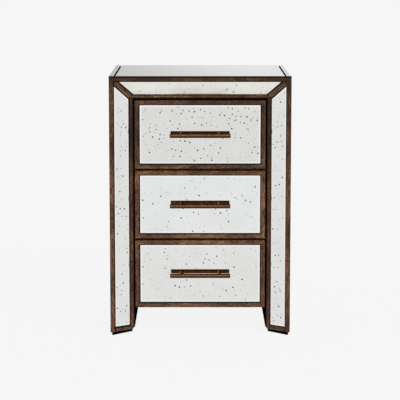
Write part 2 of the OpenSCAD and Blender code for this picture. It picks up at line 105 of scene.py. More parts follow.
@dataclass(frozen=True)
class Sizes:
    """Driving sizes of the cabinet, the same as in the CAD source, and what follows from them."""

    width: float = 0.450
    depth: float = 0.400
    plinth_h: float = 0.009
    outer_chamfer: float = 0.0025
    inner_chamfer: float = 0.005
    leg_run: float = 0.058
    inner_reveal: float = 0.0018
    recess: float = 0.042
    header_drop: float = 0.056
    crown_h: float = 0.0025
    outer_strip_w: float = 0.017
    inner_strip_w: float = 0.0105
    mitre_half_w: float = 0.0075
    foot_strip_h: float = 0.0125
    foot_block: float = 0.016
    joint_gap: float = 0.0001
    strip_t: float = 0.007
    glass_t: float = 0.004
    side_strip_w: float = 0.018
    top_edge_w: float = 0.012
    groove_w: float = 0.004
    front_h: float = 0.173
    front_gap: float = 0.0035
    side_gap: float = 0.0012
    clear_h: float = 0.065
    front_set: float = 0.001
    frame_w: float = 0.0135
    bar_d: float = 0.011
    bar_len: float = 0.151
    post_pitch: float = 0.096
    post_d: float = 0.008
    bar_reach: float = 0.031

    @property
    def half_w(self) -> float:
        """Half the width."""
        return self.width / 2

    @property
    def front_y(self) -> float:
        """Front edge of the legs and header."""
        return -self.depth / 2

    @property
    def back_y(self) -> float:
        """Back of the cabinet."""
        return self.depth / 2

    @property
    def opening_top(self) -> float:
        """Lower edge of the header."""
        return self.clear_h + 3 * (self.front_h + self.front_gap)

    @property
    def splay_top(self) -> float:
        """Upper edge of the splayed faces."""
        return self.opening_top + self.header_drop

    @property
    def body_h(self) -> float:
        """Overall height."""
        return self.splay_top + self.crown_h

    @property
    def glass_base(self) -> float:
        """Underside of the top glass."""
        return self.body_h - self.glass_t

    @property
    def splay_half(self) -> float:
        """Half the width between the inner mouldings."""
        return self.half_w - self.leg_run

    @property
    def opening_half(self) -> float:
        """Half the width of the opening, between its linings."""
        return self.splay_half - self.inner_reveal

    @property
    def side_face(self) -> float:
        """Outer face of the side boards, under the mouldings."""
        return self.half_w - self.strip_t

    @property
    def leg_len(self) -> float:
        """Length of the splayed leg face, along its slope."""
        return math.hypot(self.leg_run, self.recess)

    @property
    def head_len(self) -> float:
        """Length of the splayed header face, along its slope."""
        return math.hypot(self.header_drop, self.recess)

    @property
    def head_scale(self) -> float:
        """Length on the header face for one unit on the leg face."""
        return self.head_len / self.leg_len

    @property
    def inner_s(self) -> float:
        """Where the inner moulding starts on the leg face."""
        return self.leg_len - self.inner_strip_w

    @property
    def glass_front(self) -> float:
        """Front edge of the top glass."""
        rise = (self.splay_top - self.glass_base) * self.recess / self.head_len
        return self.front_y + (self.strip_t + rise) * self.head_len / self.header_drop

    @property
    def front_board_y(self) -> float:
        """Face of the drawer front boards, under glass and moulding."""
        return self.front_y + self.recess + self.front_set + self.strip_t

    @property
    def glass_y(self) -> float:
        """Face of the drawer glass."""
        return self.front_board_y - self.glass_t

    @property
    def front_half(self) -> float:
        """Half the width of a drawer front."""
        return self.opening_half - self.side_gap

    def drawer_z(self, layer: Layer) -> float:
        """Lower edge of a drawer front."""
        return self.clear_h + layer.value * (self.front_h + self.front_gap)


@dataclass(frozen=True)
class Plane:
    """A flat cut: a point on it and its normal."""

    point: Array
    normal: Array

    def reach(self, points: Array, along: Array) -> Array:
        """How far each point goes along a direction until it meets the plane.

        The height of the point over the plane, divided by how much of that
        height one unit of the direction takes up.

        Args:
            points: Starting points, one per row.
            along: The direction, of unit length.

        Returns:
            One length per point.
        """
        return ((self.point - points) @ self.normal) / (along @ self.normal)


@dataclass(frozen=True)
class Face:
    """A flat face of the cabinet: an origin, two directions in it and the one that goes in."""

    origin: Array
    right: Array
    up: Array
    inward: Array

    def at(self, outline: Array, deep: float) -> Array:
        """Points of a flat outline, a given depth under the face."""
        return self.origin + outline[:, :1] * self.right + outline[:, 1:] * self.up + deep * self.inward


@dataclass(frozen=True)
class Section:
    """Cross-section of a moulding: its outline, and how open each point is.

    The open value is 0 at the corners, which get painted shade, and 1 from a given distance on.
    """

    outline: Array
    open: Array


@dataclass
class Shell:
    """One closed skin: points, faces, a UV in metres per face corner, a finish number per face.

    The open value of a point is that of the section that it came from.
    """

    points: Array
    faces: list[list[int]]
    uv: Array
    finish: Array
    open: Array

    def mirrored(self) -> "Shell":
        """The same skin on the other side of the middle, with its grain moved along."""
        return Shell(self.points * [-1, 1, 1], self.faces, self.uv + MIRRORED_GRAIN, self.finish, self.open)

    def on(self, side: Side) -> "Shell":
        """The skin on the left as it is, on the right mirrored."""
        return self if side is Side.LEFT else self.mirrored()

    def finished(self, number: int) -> "Shell":
        """The same skin with every face in one finish."""
        return Shell(self.points, self.faces, self.uv, np.full_like(self.finish, number), self.open)


def unit(vectors: Array) -> Array:
    """Vectors scaled to length one."""
    return vectors / np.linalg.norm(vectors, axis=-1, keepdims=True)


def rounded(points: Sequence[Sequence[float]], radii: float | Sequence[float], steps: int = 5) -> Array:
    """Closed outline whose corners are arcs that touch both sides.

    The middle of each arc lies on the corner's bisector, the radius over the
    sine of half the angle away, and the arc turns evenly between the two
    points where it touches the sides.

    Args:
        points: Corners in order.
        radii: One radius, or one for each corner; 0 keeps a corner sharp.
        steps: Straight pieces in each arc.

    Returns:
        The outline, one point per row.
    """
    corner = np.asarray(points, float)
    radius = np.broadcast_to(np.asarray(radii, float), len(corner))
    back, ahead = unit(np.roll(corner, 1, 0) - corner), unit(np.roll(corner, -1, 0) - corner)
    half = np.arccos(np.clip((back * ahead).sum(1), -1, 1)) / 2
    touch = (radius / np.tan(half))[:, None]
    middle = corner + unit(back + ahead) * (radius / np.sin(half))[:, None]
    first, last = corner + back * touch - middle, corner + ahead * touch - middle
    turn = (np.pi - 2 * half)[:, None, None]
    k = np.linspace(0, 1, steps + 1)[None, :, None]
    arc = (np.sin((1 - k) * turn) * first[:, None] + np.sin(k * turn) * last[:, None]) / np.sin(turn)
    outline = (middle[:, None] + arc).reshape(-1, 2)
    return outline[np.linalg.norm(outline - np.roll(outline, 1, 0), axis=1) > SAME_POINT]


def densified(outline: Array, step: float) -> Array:
    """The same closed outline with more points, evenly spaced on each side.

    Args:
        outline: Points in order.
        step: Largest distance between two neighbours.

    Returns:
        The denser outline.
    """
    ahead = np.roll(outline, -1, 0)
    count = np.maximum(1, np.ceil(np.linalg.norm(ahead - outline, axis=1) / step)).astype(int)
    side = np.repeat(np.arange(len(outline)), count)
    k = ((np.arange(count.sum()) - np.repeat(np.cumsum(count) - count, count)) / count[side])[:, None]
    return outline[side] * (1 - k) + ahead[side] * k


def moulded(points: Sequence[Sequence[float]], radii: Sequence[float], dark: Sequence[float],
            step: float = 0.0012) -> Section:
    """Section of a moulding with rounded corners and painted shade along its edges.

    The open value of a point is its distance from a corner over the width of that corner's painted shade, for
    the corner where this is least, and at most 1.

    Args:
        points: Sharp corners in order.
        radii: Radius of each corner.
        dark: Width of the painted shade at each corner; 0 for none.
        step: Spacing of the points.

    Returns:
        The section.
    """
    corner = np.asarray(points, float)
    outline = densified(rounded(corner, radii), step)
    width = np.maximum(np.asarray(dark, float), TINY)
    far = np.linalg.norm(outline[:, None] - corner[None], axis=2) / width
    return Section(outline, np.minimum(far.min(1), 1.0))


def inset(outline: Array, width: float) -> Array:
    """A convex outline moved inwards, so that every side keeps the same distance.

    Each corner moves by the sum of its two side directions, times the width
    over the sine of its angle.

    Args:
        outline: Corners in order.
        width: Distance between the old and the new sides.

    Returns:
        The new corners.
    """
    back, ahead = unit(np.roll(outline, 1, 0) - outline), unit(np.roll(outline, -1, 0) - outline)
    sine = np.sqrt(1 - np.clip((back * ahead).sum(1), -1, 1) ** 2)
    return outline + (back + ahead) * (width / sine)[:, None]


def lofted(rings: Array, uv: Array, caps: tuple[Array, Array], bands: Sequence[int] | None = None,
           cap_finish: tuple[int, int] = (0, 0), open_: Array | None = None) -> Shell:
    """Closed skin through rings of points.

    Ring r and ring r+1 are joined by one four-cornered face for each side of
    the ring, and the first and last rings are closed by one flat face each.

    Args:
        rings: Points, rings by ring points by 3.
        uv: UV of the rings, with the first point repeated at the end.
        caps: UV of the first and the last ring as closing faces.
        bands: Finish number of each band between two rings.
        cap_finish: Finish numbers of the two closing faces.
        open_: Open value of each point of a ring; 1 if left out.

    Returns:
        The skin.
    """
    rows, count = rings.shape[:2]
    here = np.arange(count)
    ahead = (here + 1) % count
    base = (np.arange(rows - 1) * count)[:, None]
    quads = np.stack([base + here, base + ahead, base + count + ahead, base + count + here], -1)
    quad_uv = np.stack([uv[:-1, :-1], uv[:-1, 1:], uv[1:, 1:], uv[1:, :-1]], 2)
    last = here + (rows - 1) * count
    finish = np.repeat(np.zeros(rows - 1, int) if bands is None else np.asarray(bands, int), count)
    return Shell(
        rings.reshape(-1, 3),
        quads.reshape(-1, 4).tolist() + [here[::-1].tolist(), last.tolist()],
        np.concatenate([quad_uv.reshape(-1, 2), caps[0][::-1], caps[1]]),
        np.concatenate([finish, cap_finish]),
        np.tile(np.ones(count) if open_ is None else open_, rows),
    )


def stick(section: Section, face: Face, start: Any, end: Any, shift: float = 0.0) -> Shell:
    """A length of moulding: a cross-section carried along a straight line.

    Every point of the section travels along the face's up direction, from the
    length given by start to the one given by end, so that slanted ends come
    out as mitres. U is the length round the section, V the length along it.

    Args:
        section: Cross-section, across the face and into it.
        face: The face that the moulding lies on; it runs along the face's up.
        start: Length for each point of the section, or a function of the points.
        end: The same for the far end.
        shift: Moves the grain, so that no two lengths look alike.

    Returns:
        The skin.
    """
    profile = section.outline
    base = face.origin + profile[:, :1] * face.right + profile[:, 1:] * face.inward
    lengths = [np.broadcast_to(f(base) if callable(f) else f, len(base)) for f in (start, end)]
    along = np.stack(lengths)
    rings = base + along[..., None] * face.up
    girth = np.concatenate([[0], np.cumsum(np.linalg.norm(np.roll(profile, -1, 0) - profile, axis=1))])
    closed = np.concatenate([along, along[:, :1]], 1)
    uv = np.stack([np.broadcast_to(girth, closed.shape), closed], -1) + [shift, 1.7 * shift]
    return lofted(rings, uv, (profile + shift, profile - shift), open_=section.open)


def pane(outline: Array, face: Face, front: float, back: float, rim: float, drop: float,
         shift: float = 0.0, painted: Sequence[int] = (), paint: float = 0.0006) -> Shell:
    """A sheet of mirror with a ground and polished rim.

    Outlines, one behind the other: the back, the edge of the sheet, a narrow
    line inside it up to which paint may reach over the rim, and the flat of
    the mirror inside the rim.

    Args:
        outline: Convex outline in the face.
        face: The face that the sheet lies in.
        front: Depth of the flat of the mirror under the face.
        back: Depth of the back of the sheet.
        rim: Width of the ground rim.
        drop: How far the rim falls away towards the edge.
        shift: Moves the pattern of the silvering.
        painted: Sides, by number, where the edge's paint reaches over the rim.
        paint: Width of that paint.

    Returns:
        The skin: 0 the mirror, 1 the polished rim, 2 the painted back, 3 the seamed edge.
    """
    flat = inset(outline, rim)
    outlines = [outline, outline, inset(outline, paint), flat]
    depths = [back, front + drop, front + drop * (1 - paint / rim), front]
    rings = np.stack([face.at(o, d) for o, d in zip(outlines, depths)])
    uv = np.stack([np.concatenate([o, o[:1]]) for o in outlines]) + shift
    sheet = lofted(rings, uv, (outline + shift, flat + shift), bands=[3, 1, 1], cap_finish=(2, 0))
    sheet.finish[len(outline) + np.array(painted, int)] = 3
    return sheet


def turned(radii: Array, places: Array, origin: Array, axis: Array, count: int = 32) -> Shell:
    """A turned piece: a circle of changing radius carried along an axis.

    Args:
        radii: Radius at each place.
        places: Length along the axis of each place.
        origin: Where the axis starts.
        axis: Direction of the axis.
        count: Points in each circle.

    Returns:
        The skin, with U round the circle and V along the axis.
    """
    side = unit(np.cross(axis, Z) if abs(axis @ Z) < 0.9 else np.cross(axis, X))
    other = np.cross(axis, side)
    angle = np.linspace(0, 2 * np.pi, count, endpoint=False)
    spoke = np.cos(angle)[:, None] * side + np.sin(angle)[:, None] * other
    rings = origin + places[:, None, None] * axis + radii[:, None, None] * spoke
    arc = np.linspace(0, 2 * np.pi, count + 1) * radii.max()
    uv = np.stack(np.broadcast_arrays(arc[None, :], places[:, None]), -1)
    disc = np.stack([np.cos(angle), np.sin(angle)], -1)
    return lofted(rings, uv, (disc * radii[0], disc * radii[-1]))


def colour(code: str) -> Rgba:
    """Linear colour of an sRGB hex code.

    Args:
        code: Six hex digits after a hash.

    Returns:
        Red, green, blue and alpha 1, each from 0 to 1.
    """
    parts = [int(code[i:i + 2], 16) / 255 for i in (1, 3, 5)]
    linear = [p / 12.92 if p <= 0.04045 else ((p + 0.055) / 1.055) ** 2.4 for p in parts]
    return (linear[0], linear[1], linear[2], 1.0)


class Nodes:
    """The node tree of one material or world, emptied."""

    def __init__(self, owner: bpy.types.Material | bpy.types.World) -> None:
        """Empties the owner's tree.

        Args:
            owner: The material or the world.
        """
        owner.use_nodes = True
        self.tree = owner.node_tree
        self.tree.nodes.clear()

    def add(self, kind: str, inputs: dict[Any, Any] | None = None, **settings: Any) -> bpy.types.Node:
        """Adds a node.

        Args:
            kind: Blender's name of the node type, without ShaderNode.
            inputs: Value or source socket for each input, by name or number.
            **settings: Values of the node's own settings.

        Returns:
            The node.
        """
        node = self.tree.nodes.new("ShaderNode" + kind)
        for name, value in settings.items():
            setattr(node, name, value)
        for key, value in (inputs or {}).items():
            if isinstance(value, bpy.types.NodeSocket):
                self.tree.links.new(value, node.inputs[key])
            else:
                node.inputs[key].default_value = value
        return node


@dataclass(frozen=True)
class StainedMoulding:
    """Solid hardwood moulding, stained dark brown, wiped back and waxed.

    The stain stays dark in the pores: long uneven streaks, a dull wax sheen. The corners of each section,
    next to the glass and along the rounded edges, get painted shade, so the crown looks lighter. Broad soft
    patches are a little darker, and so is the upper third of the cabinet. Both follow the tones of the
    photo, where they may be light.
    The pores are drawn a millimetre wide, coarser than real ones, to show.
    """

    name: str = "stained_hardwood_moulding"
    pore: str = "#1e1009"
    stain: str = "#50301d"
    worn_and_edge_shade: str = "#986d4a"
    # Colour of the painted shade at the corners of each section.
    painted_edge_shade: str = "#0a0603"
    upper: str = "#cccccc"
    upper_from: tuple[float, float] = (0.36, 0.46)
    pore_width: float = 1.0
    pore_length: float = 8.0
    cloud: float = 6.0
    cloud_stretch: float = 5.0
    wiping: float = 90.0
    wiping_from: tuple[float, float] = (0.42, 0.6)
    thick: str = "#c9c6c4"
    # Share of that painted shade at the very corner.
    painted_edge_shade_share: float = 0.97
    roughness: float = 0.55
    sheen_level: float = 0.25
    grain_depth: float = 0.0003

    def material(self) -> bpy.types.Material:
        """Builds the material from the piece's own UV map, in millimetres, and its open value.

        Returns:
            The material.
        """
        made = bpy.data.materials.new(self.name)
        nodes = Nodes(made)
        uv = nodes.add("UVMap").outputs[0]
        at = nodes.add("TexCoord").outputs["Object"]
        pore_scale = (PER_METRE / self.pore_width, PER_METRE / self.pore_length, 1)
        streak_at = nodes.add("Mapping", {0: uv, 3: pore_scale}).outputs[0]
        streak = nodes.add("TexNoise", {"Vector": streak_at, "Scale": 1.0, "Detail": 4.0,
                                        "Roughness": 0.65}).outputs[0]
        cloud_scale = (PER_METRE / self.cloud, PER_METRE / (self.cloud * self.cloud_stretch), 1)
        cloud_at = nodes.add("Mapping", {0: uv, 3: cloud_scale}).outputs[0]
        cloud = nodes.add("TexNoise", {"Vector": cloud_at, "Scale": 1.0, "Detail": 4.0,
                                       "Roughness": 0.7}).outputs[0]
        thin = nodes.add("MapRange", {0: cloud, 1: 0.31, 2: 0.69}, **SMOOTH).outputs[0]
        base = nodes.add("Mix", {0: thin, 6: colour(self.stain), 7: colour(self.worn_and_edge_shade)}, **BLEND).outputs[2]
        filled = nodes.add("MapRange", {0: streak, 1: 0.58, 2: 0.34}, **SMOOTH).outputs[0]
        tone = nodes.add("Mix", {0: filled, 6: base, 7: colour(self.pore)}, **BLEND).outputs[2]
        wiped = nodes.add("TexNoise", {"Vector": at, "Scale": PER_METRE / self.wiping,
                                       "Detail": 1.0}).outputs[0]
        height = nodes.add("SeparateXYZ", {0: at}).outputs[2]
        for where, (low, high), film in ((wiped, self.wiping_from, self.thick),
                                         (height, self.upper_from, self.upper)):
            share = nodes.add("MapRange", {0: where, 1: low, 2: high}, **SMOOTH).outputs[0]
            darker = nodes.add("Mix", {0: 1.0, 6: tone, 7: colour(film)}, blend_type="MULTIPLY",
                               **BLEND).outputs[2]
            tone = nodes.add("Mix", {0: share, 6: tone, 7: darker}, **BLEND).outputs[2]
        # Painted shade: towards each section's corners the tone darkens to the shade colour.
        openness = nodes.add("Attribute", attribute_name=OPEN).outputs["Fac"]
        painted_edge_shade = nodes.add("MapRange", {0: openness, 1: 1.0, 2: 0.6, 3: 0.0, 4: self.painted_edge_shade_share},
                        **SMOOTH).outputs[0]
        tone = nodes.add("Mix", {0: painted_edge_shade, 6: tone, 7: colour(self.painted_edge_shade)}, **BLEND).outputs[2]
        rough = nodes.add("MapRange", {0: streak, 1: 0.3, 2: 0.7, 3: self.roughness + 0.2,
                                       4: self.roughness - 0.05}, **SMOOTH).outputs[0]
        bump = nodes.add("Bump", {"Strength": 0.6, "Distance": self.grain_depth, "Height": streak})
        shader = nodes.add("BsdfPrincipled", {
            "Base Color": tone, "Roughness": rough, "Normal": bump.outputs[0],
            "Specular IOR Level": self.sheen_level, "IOR": 1.5})
        nodes.add("OutputMaterial", {0: shader.outputs[0]})
        return made


@dataclass(frozen=True)
class FoxedMirror:
    """Antiqued silvered glass: silver eaten through in dark specks.

    Small round specks stand alone and in loose clusters; the silver between
    them is pale and a little clouded. A mirroring under 1 turns it milky and
    half matt, which is how the header looks in the photo.
    """

    name: str
    speck_share: float = 0.4
    pin_share: float = 0.3
    speck_cell: float = 13.0
    speck_size: tuple[float, float] = (0.8, 2.3)
    pin_cell: float = 8.0
    pin_size: tuple[float, float] = (0.5, 1.1)
    grid_turns: tuple[float, float] = (0.3, 1.1)
    core: float = 0.7
    wander: float = 1.3
    silver: str = "#e6e7e5"
    veil: str = "#c4c4c1"
    speck: str = "#241d18"
    cloud: float = 60.0
    clouding: float = 0.10
    roughness: float = 0.03
    speck_roughness: float = 0.6
    mirroring: float = 1.0
    sheen_level: float = 0.15

    def specks(self, nodes: Nodes, at: Any, cell: float, size: tuple[float, float],
               share: float, turn: float) -> bpy.types.NodeSocket:
        """One generation of specks.

        Random points, one in each cell of a loose grid; a point becomes a
        speck if its random number is under the share, and a second random
        number sets its radius.

        Args:
            nodes: The tree.
            at: Place on the glass, in millimetres.
            cell: Spacing of the grid, in millimetres.
            size: Smallest and largest radius, in millimetres.
            share: Share of the points that become specks.
            turn: Angle of the grid.

        Returns:
            1 in a speck, 0 outside.
        """
        placed = nodes.add("Mapping", {0: at, 1: (13.7 * turn, 7.9 * turn, 0), 2: (0, 0, turn),
                                       3: (1 / cell, 1 / cell, 1)}).outputs[0]
        points = nodes.add("TexVoronoi", {"Vector": placed, "Scale": 1.0}, voronoi_dimensions="2D")
        dice = nodes.add("SeparateColor", {0: points.outputs["Color"]})
        radius = nodes.add("MapRange", {0: dice.outputs[1], 3: size[0] / cell, 4: size[1] / cell}).outputs[0]
        core = nodes.add("Math", {0: radius, 1: self.core}, operation="MULTIPLY").outputs[0]
        spot = nodes.add("MapRange", {0: points.outputs["Distance"], 1: radius, 2: core}, **SMOOTH).outputs[0]
        kept = nodes.add("Math", {0: dice.outputs[0], 1: share}, operation="LESS_THAN").outputs[0]
        return nodes.add("Math", {0: spot, 1: kept}, operation="MULTIPLY").outputs[0]

    def material(self) -> bpy.types.Material:
        """Builds the material from the piece's own UV map, in millimetres.

        Returns:
            The material.
        """
        made = bpy.data.materials.new(self.name)
        nodes = Nodes(made)
        uv = nodes.add("UVMap").outputs[0]
        flat = nodes.add("Mapping", {0: uv, 3: (PER_METRE, PER_METRE, 1)}).outputs[0]
        wave = nodes.add("TexNoise", {"Vector": flat, "Scale": 0.45, "Detail": 2.0}, noise_dimensions="2D")
        pull = nodes.add("VectorMath", {0: wave.outputs["Color"], 1: (0.5, 0.5, 0.5)}, operation="SUBTRACT")
        pull = nodes.add("VectorMath", {0: pull.outputs[0], "Scale": self.wander}, operation="SCALE")
        at = nodes.add("VectorMath", {0: flat, 1: pull.outputs[0]}, operation="ADD").outputs[0]
        big = self.specks(nodes, at, self.speck_cell, self.speck_size, self.speck_share, self.grid_turns[0])
        small = self.specks(nodes, at, self.pin_cell, self.pin_size, self.pin_share, self.grid_turns[1])
        spots = nodes.add("Math", {0: big, 1: small}, operation="MAXIMUM").outputs[0]
        haze = nodes.add("TexNoise", {"Vector": flat, "Scale": 1 / self.cloud, "Detail": 3.0},
                         noise_dimensions="2D").outputs[0]
        veiled = nodes.add("MapRange", {0: haze, 1: 0.35, 2: 0.7, 3: 0.0, 4: self.clouding},
                           **SMOOTH).outputs[0]
        clouded = nodes.add("Mix", {0: veiled, 6: colour(self.silver), 7: colour(self.veil)},
                            **BLEND).outputs[2]
        tone = nodes.add("Mix", {0: spots, 6: clouded, 7: colour(self.speck)}, **BLEND).outputs[2]
        metal = nodes.add("MapRange", {0: spots, 3: self.mirroring, 4: 0.0}).outputs[0]
        rough = nodes.add("MapRange", {0: spots, 3: self.roughness, 4: self.speck_roughness}).outputs[0]
        shader = nodes.add("BsdfPrincipled", {"Base Color": tone, "Metallic": metal, "Roughness": rough,
                                              "Specular IOR Level": self.sheen_level})
        nodes.add("OutputMaterial", {0: shader.outputs[0]})
        return made


@dataclass(frozen=True)
class PlainMirror:
    """Clear silvered float glass, without specks: even, bright and slightly green."""

    name: str = "clear_silvered_glass"
    silver: str = "#e4e5e3"
    veil: str = "#e0e1df"
    edge_tint: str = "#f0f0f0"
    cloud: float = 90.0
    roughness: float = 0.03

    def material(self) -> bpy.types.Material:
        """Builds the material from the piece's own UV map, in millimetres.

        Returns:
            The material.
        """
        made = bpy.data.materials.new(self.name)
        nodes = Nodes(made)
        uv = nodes.add("UVMap").outputs[0]
        scale = PER_METRE / self.cloud
        flat = nodes.add("Mapping", {0: uv, 3: (scale, scale, 1)}).outputs[0]
        haze = nodes.add("TexNoise", {"Vector": flat, "Scale": 1.0, "Detail": 4.0},
                         noise_dimensions="2D").outputs[0]
        veiled = nodes.add("MapRange", {0: haze, 1: 0.3, 2: 0.7}, **SMOOTH).outputs[0]
        tone = nodes.add("Mix", {0: veiled, 6: colour(self.silver), 7: colour(self.veil)}, **BLEND).outputs[2]
        shader = nodes.add("BsdfPrincipled", {"Base Color": tone, "Metallic": 1.0,
                                              "Roughness": self.roughness,
                                              "Specular Tint": colour(self.edge_tint)})
        nodes.add("OutputMaterial", {0: shader.outputs[0]})
        return made


@dataclass(frozen=True)
class PolishedRim:
    """Ground and polished glass edge: brighter than the flat, with fine lines from the stone.

    The lines are drawn coarser than real ones, to show. The pale line along
    the top's front edge in the photo, which this follows, may also be a halo
    of a sharpened picture.
    """

    name: str = "polished_glass_rim"
    light: str = "#ffffff"
    line: str = "#f1f3f1"
    pitch: float = 0.8
    roughness: float = 0.12

    def material(self) -> bpy.types.Material:
        """Builds the material from the piece's own UV map, in millimetres.

        Returns:
            The material.
        """
        made = bpy.data.materials.new(self.name)
        nodes = Nodes(made)
        uv = nodes.add("UVMap").outputs[0]
        scale = PER_METRE / self.pitch
        flat = nodes.add("Mapping", {0: uv, 3: (scale, scale, 1)}).outputs[0]
        stone = nodes.add("TexNoise", {"Vector": flat, "Scale": 1.0, "Detail": 2.0},
                          noise_dimensions="2D").outputs[0]
        tone = nodes.add("Mix", {0: stone, 6: colour(self.light), 7: colour(self.line)}, **BLEND).outputs[2]
        rough = nodes.add("MapRange", {0: stone, 1: 0.3, 2: 0.7, 3: self.roughness * 0.7,
                                       4: self.roughness * 1.5}, **SMOOTH).outputs[0]
        shader = nodes.add("BsdfPrincipled", {"Base Color": tone, "Metallic": 1.0, "Roughness": rough})
        nodes.add("OutputMaterial", {0: shader.outputs[0]})
        return made


@dataclass(frozen=True)
class SeamedEdge:
    """Cut edge of mirror glass, seamed with a stone, dark grey-green or painted black.

    Its fine chips are drawn about a millimetre wide, coarser than real ones,
    to show.
    """

    name: str = "seamed_glass_edge"
    deep: str = "#1a211e"
    chip: str = "#3c4642"
    pitch: float = 1.2
    roughness: float = 0.45
    sheen_level: float = 0.5

    def material(self) -> bpy.types.Material:
        """Builds the material on Object coordinates, in millimetres.

        Returns:
            The material.
        """
        made = bpy.data.materials.new(self.name)
        nodes = Nodes(made)
        at = nodes.add("TexCoord").outputs["Object"]
        chip = nodes.add("TexNoise", {"Vector": at, "Scale": PER_METRE / self.pitch,
                                      "Detail": 3.0}).outputs[0]
        chipped = nodes.add("MapRange", {0: chip, 1: 0.5, 2: 0.7}, **SMOOTH).outputs[0]
        tone = nodes.add("Mix", {0: chipped, 6: colour(self.deep), 7: colour(self.chip)}, **BLEND).outputs[2]
        rough = nodes.add("MapRange", {0: chip, 1: 0.3, 2: 0.7, 3: self.roughness - 0.05,
                                       4: self.roughness + 0.15}, **SMOOTH).outputs[0]
        shader = nodes.add("BsdfPrincipled", {"Base Color": tone, "Roughness": rough, "IOR": 1.52,
                                              "Specular IOR Level": self.sheen_level})
        nodes.add("OutputMaterial", {0: shader.outputs[0]})
        return made


@dataclass(frozen=True)
class BlackBoard:
    """Board sprayed with black-brown lacquer: dead flat, with a fine orange peel and scuffed patches.

    The specular level is 0, so it has no gloss at all, less than such a
    lacquer has.
    """

    name: str = "black_lacquered_board"
    lacquer: str = "#060404"
    scuff: str = "#0c0908"
    peel: float = 1.6
    patch: float = 45.0
    roughness: float = 0.8
    sheen_level: float = 0.0

    def material(self) -> bpy.types.Material:
        """Builds the material on Object coordinates, in millimetres.

        Returns:
            The material.
        """
        made = bpy.data.materials.new(self.name)
        nodes = Nodes(made)
        at = nodes.add("TexCoord").outputs["Object"]
        peel = nodes.add("TexNoise", {"Vector": at, "Scale": PER_METRE / self.peel, "Detail": 2.0}).outputs[0]
        patch = nodes.add("TexNoise", {"Vector": at, "Scale": PER_METRE / self.patch, "Detail": 5.0,
                                       "Roughness": 0.7}).outputs[0]
        scuffed = nodes.add("MapRange", {0: patch, 1: 0.45, 2: 0.75}, **SMOOTH).outputs[0]
        tone = nodes.add("Mix", {0: scuffed, 6: colour(self.lacquer), 7: colour(self.scuff)},
                         **BLEND).outputs[2]
        rough = nodes.add("MapRange", {0: patch, 1: 0.3, 2: 0.7, 3: self.roughness - 0.08,
                                       4: self.roughness + 0.12}, **SMOOTH).outputs[0]
        bump = nodes.add("Bump", {"Strength": 0.25, "Distance": FINE_RELIEF, "Height": peel})
        shader = nodes.add("BsdfPrincipled", {"Base Color": tone, "Roughness": rough,
                                              "Normal": bump.outputs[0],
                                              "Specular IOR Level": self.sheen_level, "IOR": 1.48})
        nodes.add("OutputMaterial", {0: shader.outputs[0]})
        return made


class Grain(Enum):
    """Which way the grain of a plain wooden board runs: the pattern is squeezed less along it."""

    ACROSS = (0.06, 1.0, 1.0)
    DEPTH = (1.0, 0.06, 1.0)


@dataclass(frozen=True)
class PlainBoard:
    """Bare pale drawer wood, planed and sealed: long soft grain bands with fine dark pores.

    In a drawer box the grain runs along each wall, so it turns across in the
    rear wall, which lies behind a given depth and between the two sides. The
    pores are drawn almost a millimetre wide, coarser than real ones, to show.
    """

    name: str
    grain: Grain
    rear: tuple[float, float] | None = None
    light: str = "#c9ab83"
    band: str = "#a9855c"
    pore: str = "#7b5a3b"
    band_width: float = 9.0
    pore_width: float = 0.9
    roughness: float = 0.55

    def stretch(self, nodes: Nodes, at: Any) -> Any:
        """How much the pattern is squeezed in each direction.

        Args:
            nodes: The tree.
            at: Place on the piece.

        Returns:
            The grain's own factors, or a socket that switches in the rear wall.
        """
        if self.rear is None:
            return self.grain.value
        axes = nodes.add("SeparateXYZ", {0: at})
        off = nodes.add("Math", {0: axes.outputs[0]}, operation="ABSOLUTE").outputs[0]
        behind = nodes.add("Math", {0: axes.outputs[1], 1: self.rear[0]},
                           operation="GREATER_THAN").outputs[0]
        between = nodes.add("Math", {0: off, 1: self.rear[1]}, operation="LESS_THAN").outputs[0]
        wall = nodes.add("Math", {0: behind, 1: between}, operation="MULTIPLY").outputs[0]
        return nodes.add("Mix", {0: wall, 4: self.grain.value, 5: Grain.ACROSS.value},
                         data_type="VECTOR").outputs[1]

    def material(self) -> bpy.types.Material:
        """Builds the material on Object coordinates, stretched along the grain.

        Returns:
            The material.
        """
        made = bpy.data.materials.new(self.name)
        nodes = Nodes(made)
        at = nodes.add("TexCoord").outputs["Object"]
        along = nodes.add("VectorMath", {0: at, 1: self.stretch(nodes, at)}, operation="MULTIPLY").outputs[0]
        band = nodes.add("TexNoise", {"Vector": along, "Scale": PER_METRE / self.band_width,
                                      "Detail": 3.0, "Distortion": 0.6}).outputs[0]
        pore = nodes.add("TexNoise", {"Vector": along, "Scale": PER_METRE / self.pore_width,
                                      "Detail": 2.0}).outputs[0]
        late = nodes.add("MapRange", {0: band, 1: 0.35, 2: 0.65}, **SMOOTH).outputs[0]
        tone = nodes.add("Mix", {0: late, 6: colour(self.light), 7: colour(self.band)}, **BLEND).outputs[2]
        deep = nodes.add("MapRange", {0: pore, 1: 0.6, 2: 0.75, 3: 0.0, 4: 0.7}, **SMOOTH).outputs[0]
        tone = nodes.add("Mix", {0: deep, 6: tone, 7: colour(self.pore)}, **BLEND).outputs[2]
        rough = nodes.add("MapRange", {0: pore, 1: 0.4, 2: 0.8, 3: self.roughness,
                                       4: self.roughness + 0.15}, **SMOOTH).outputs[0]
        bump = nodes.add("Bump", {"Strength": 0.3, "Distance": FINE_RELIEF, "Height": pore})
        shader = nodes.add("BsdfPrincipled", {"Base Color": tone, "Roughness": rough,
                                              "Normal": bump.outputs[0], "IOR": 1.5})
        nodes.add("OutputMaterial", {0: shader.outputs[0]})
        return made


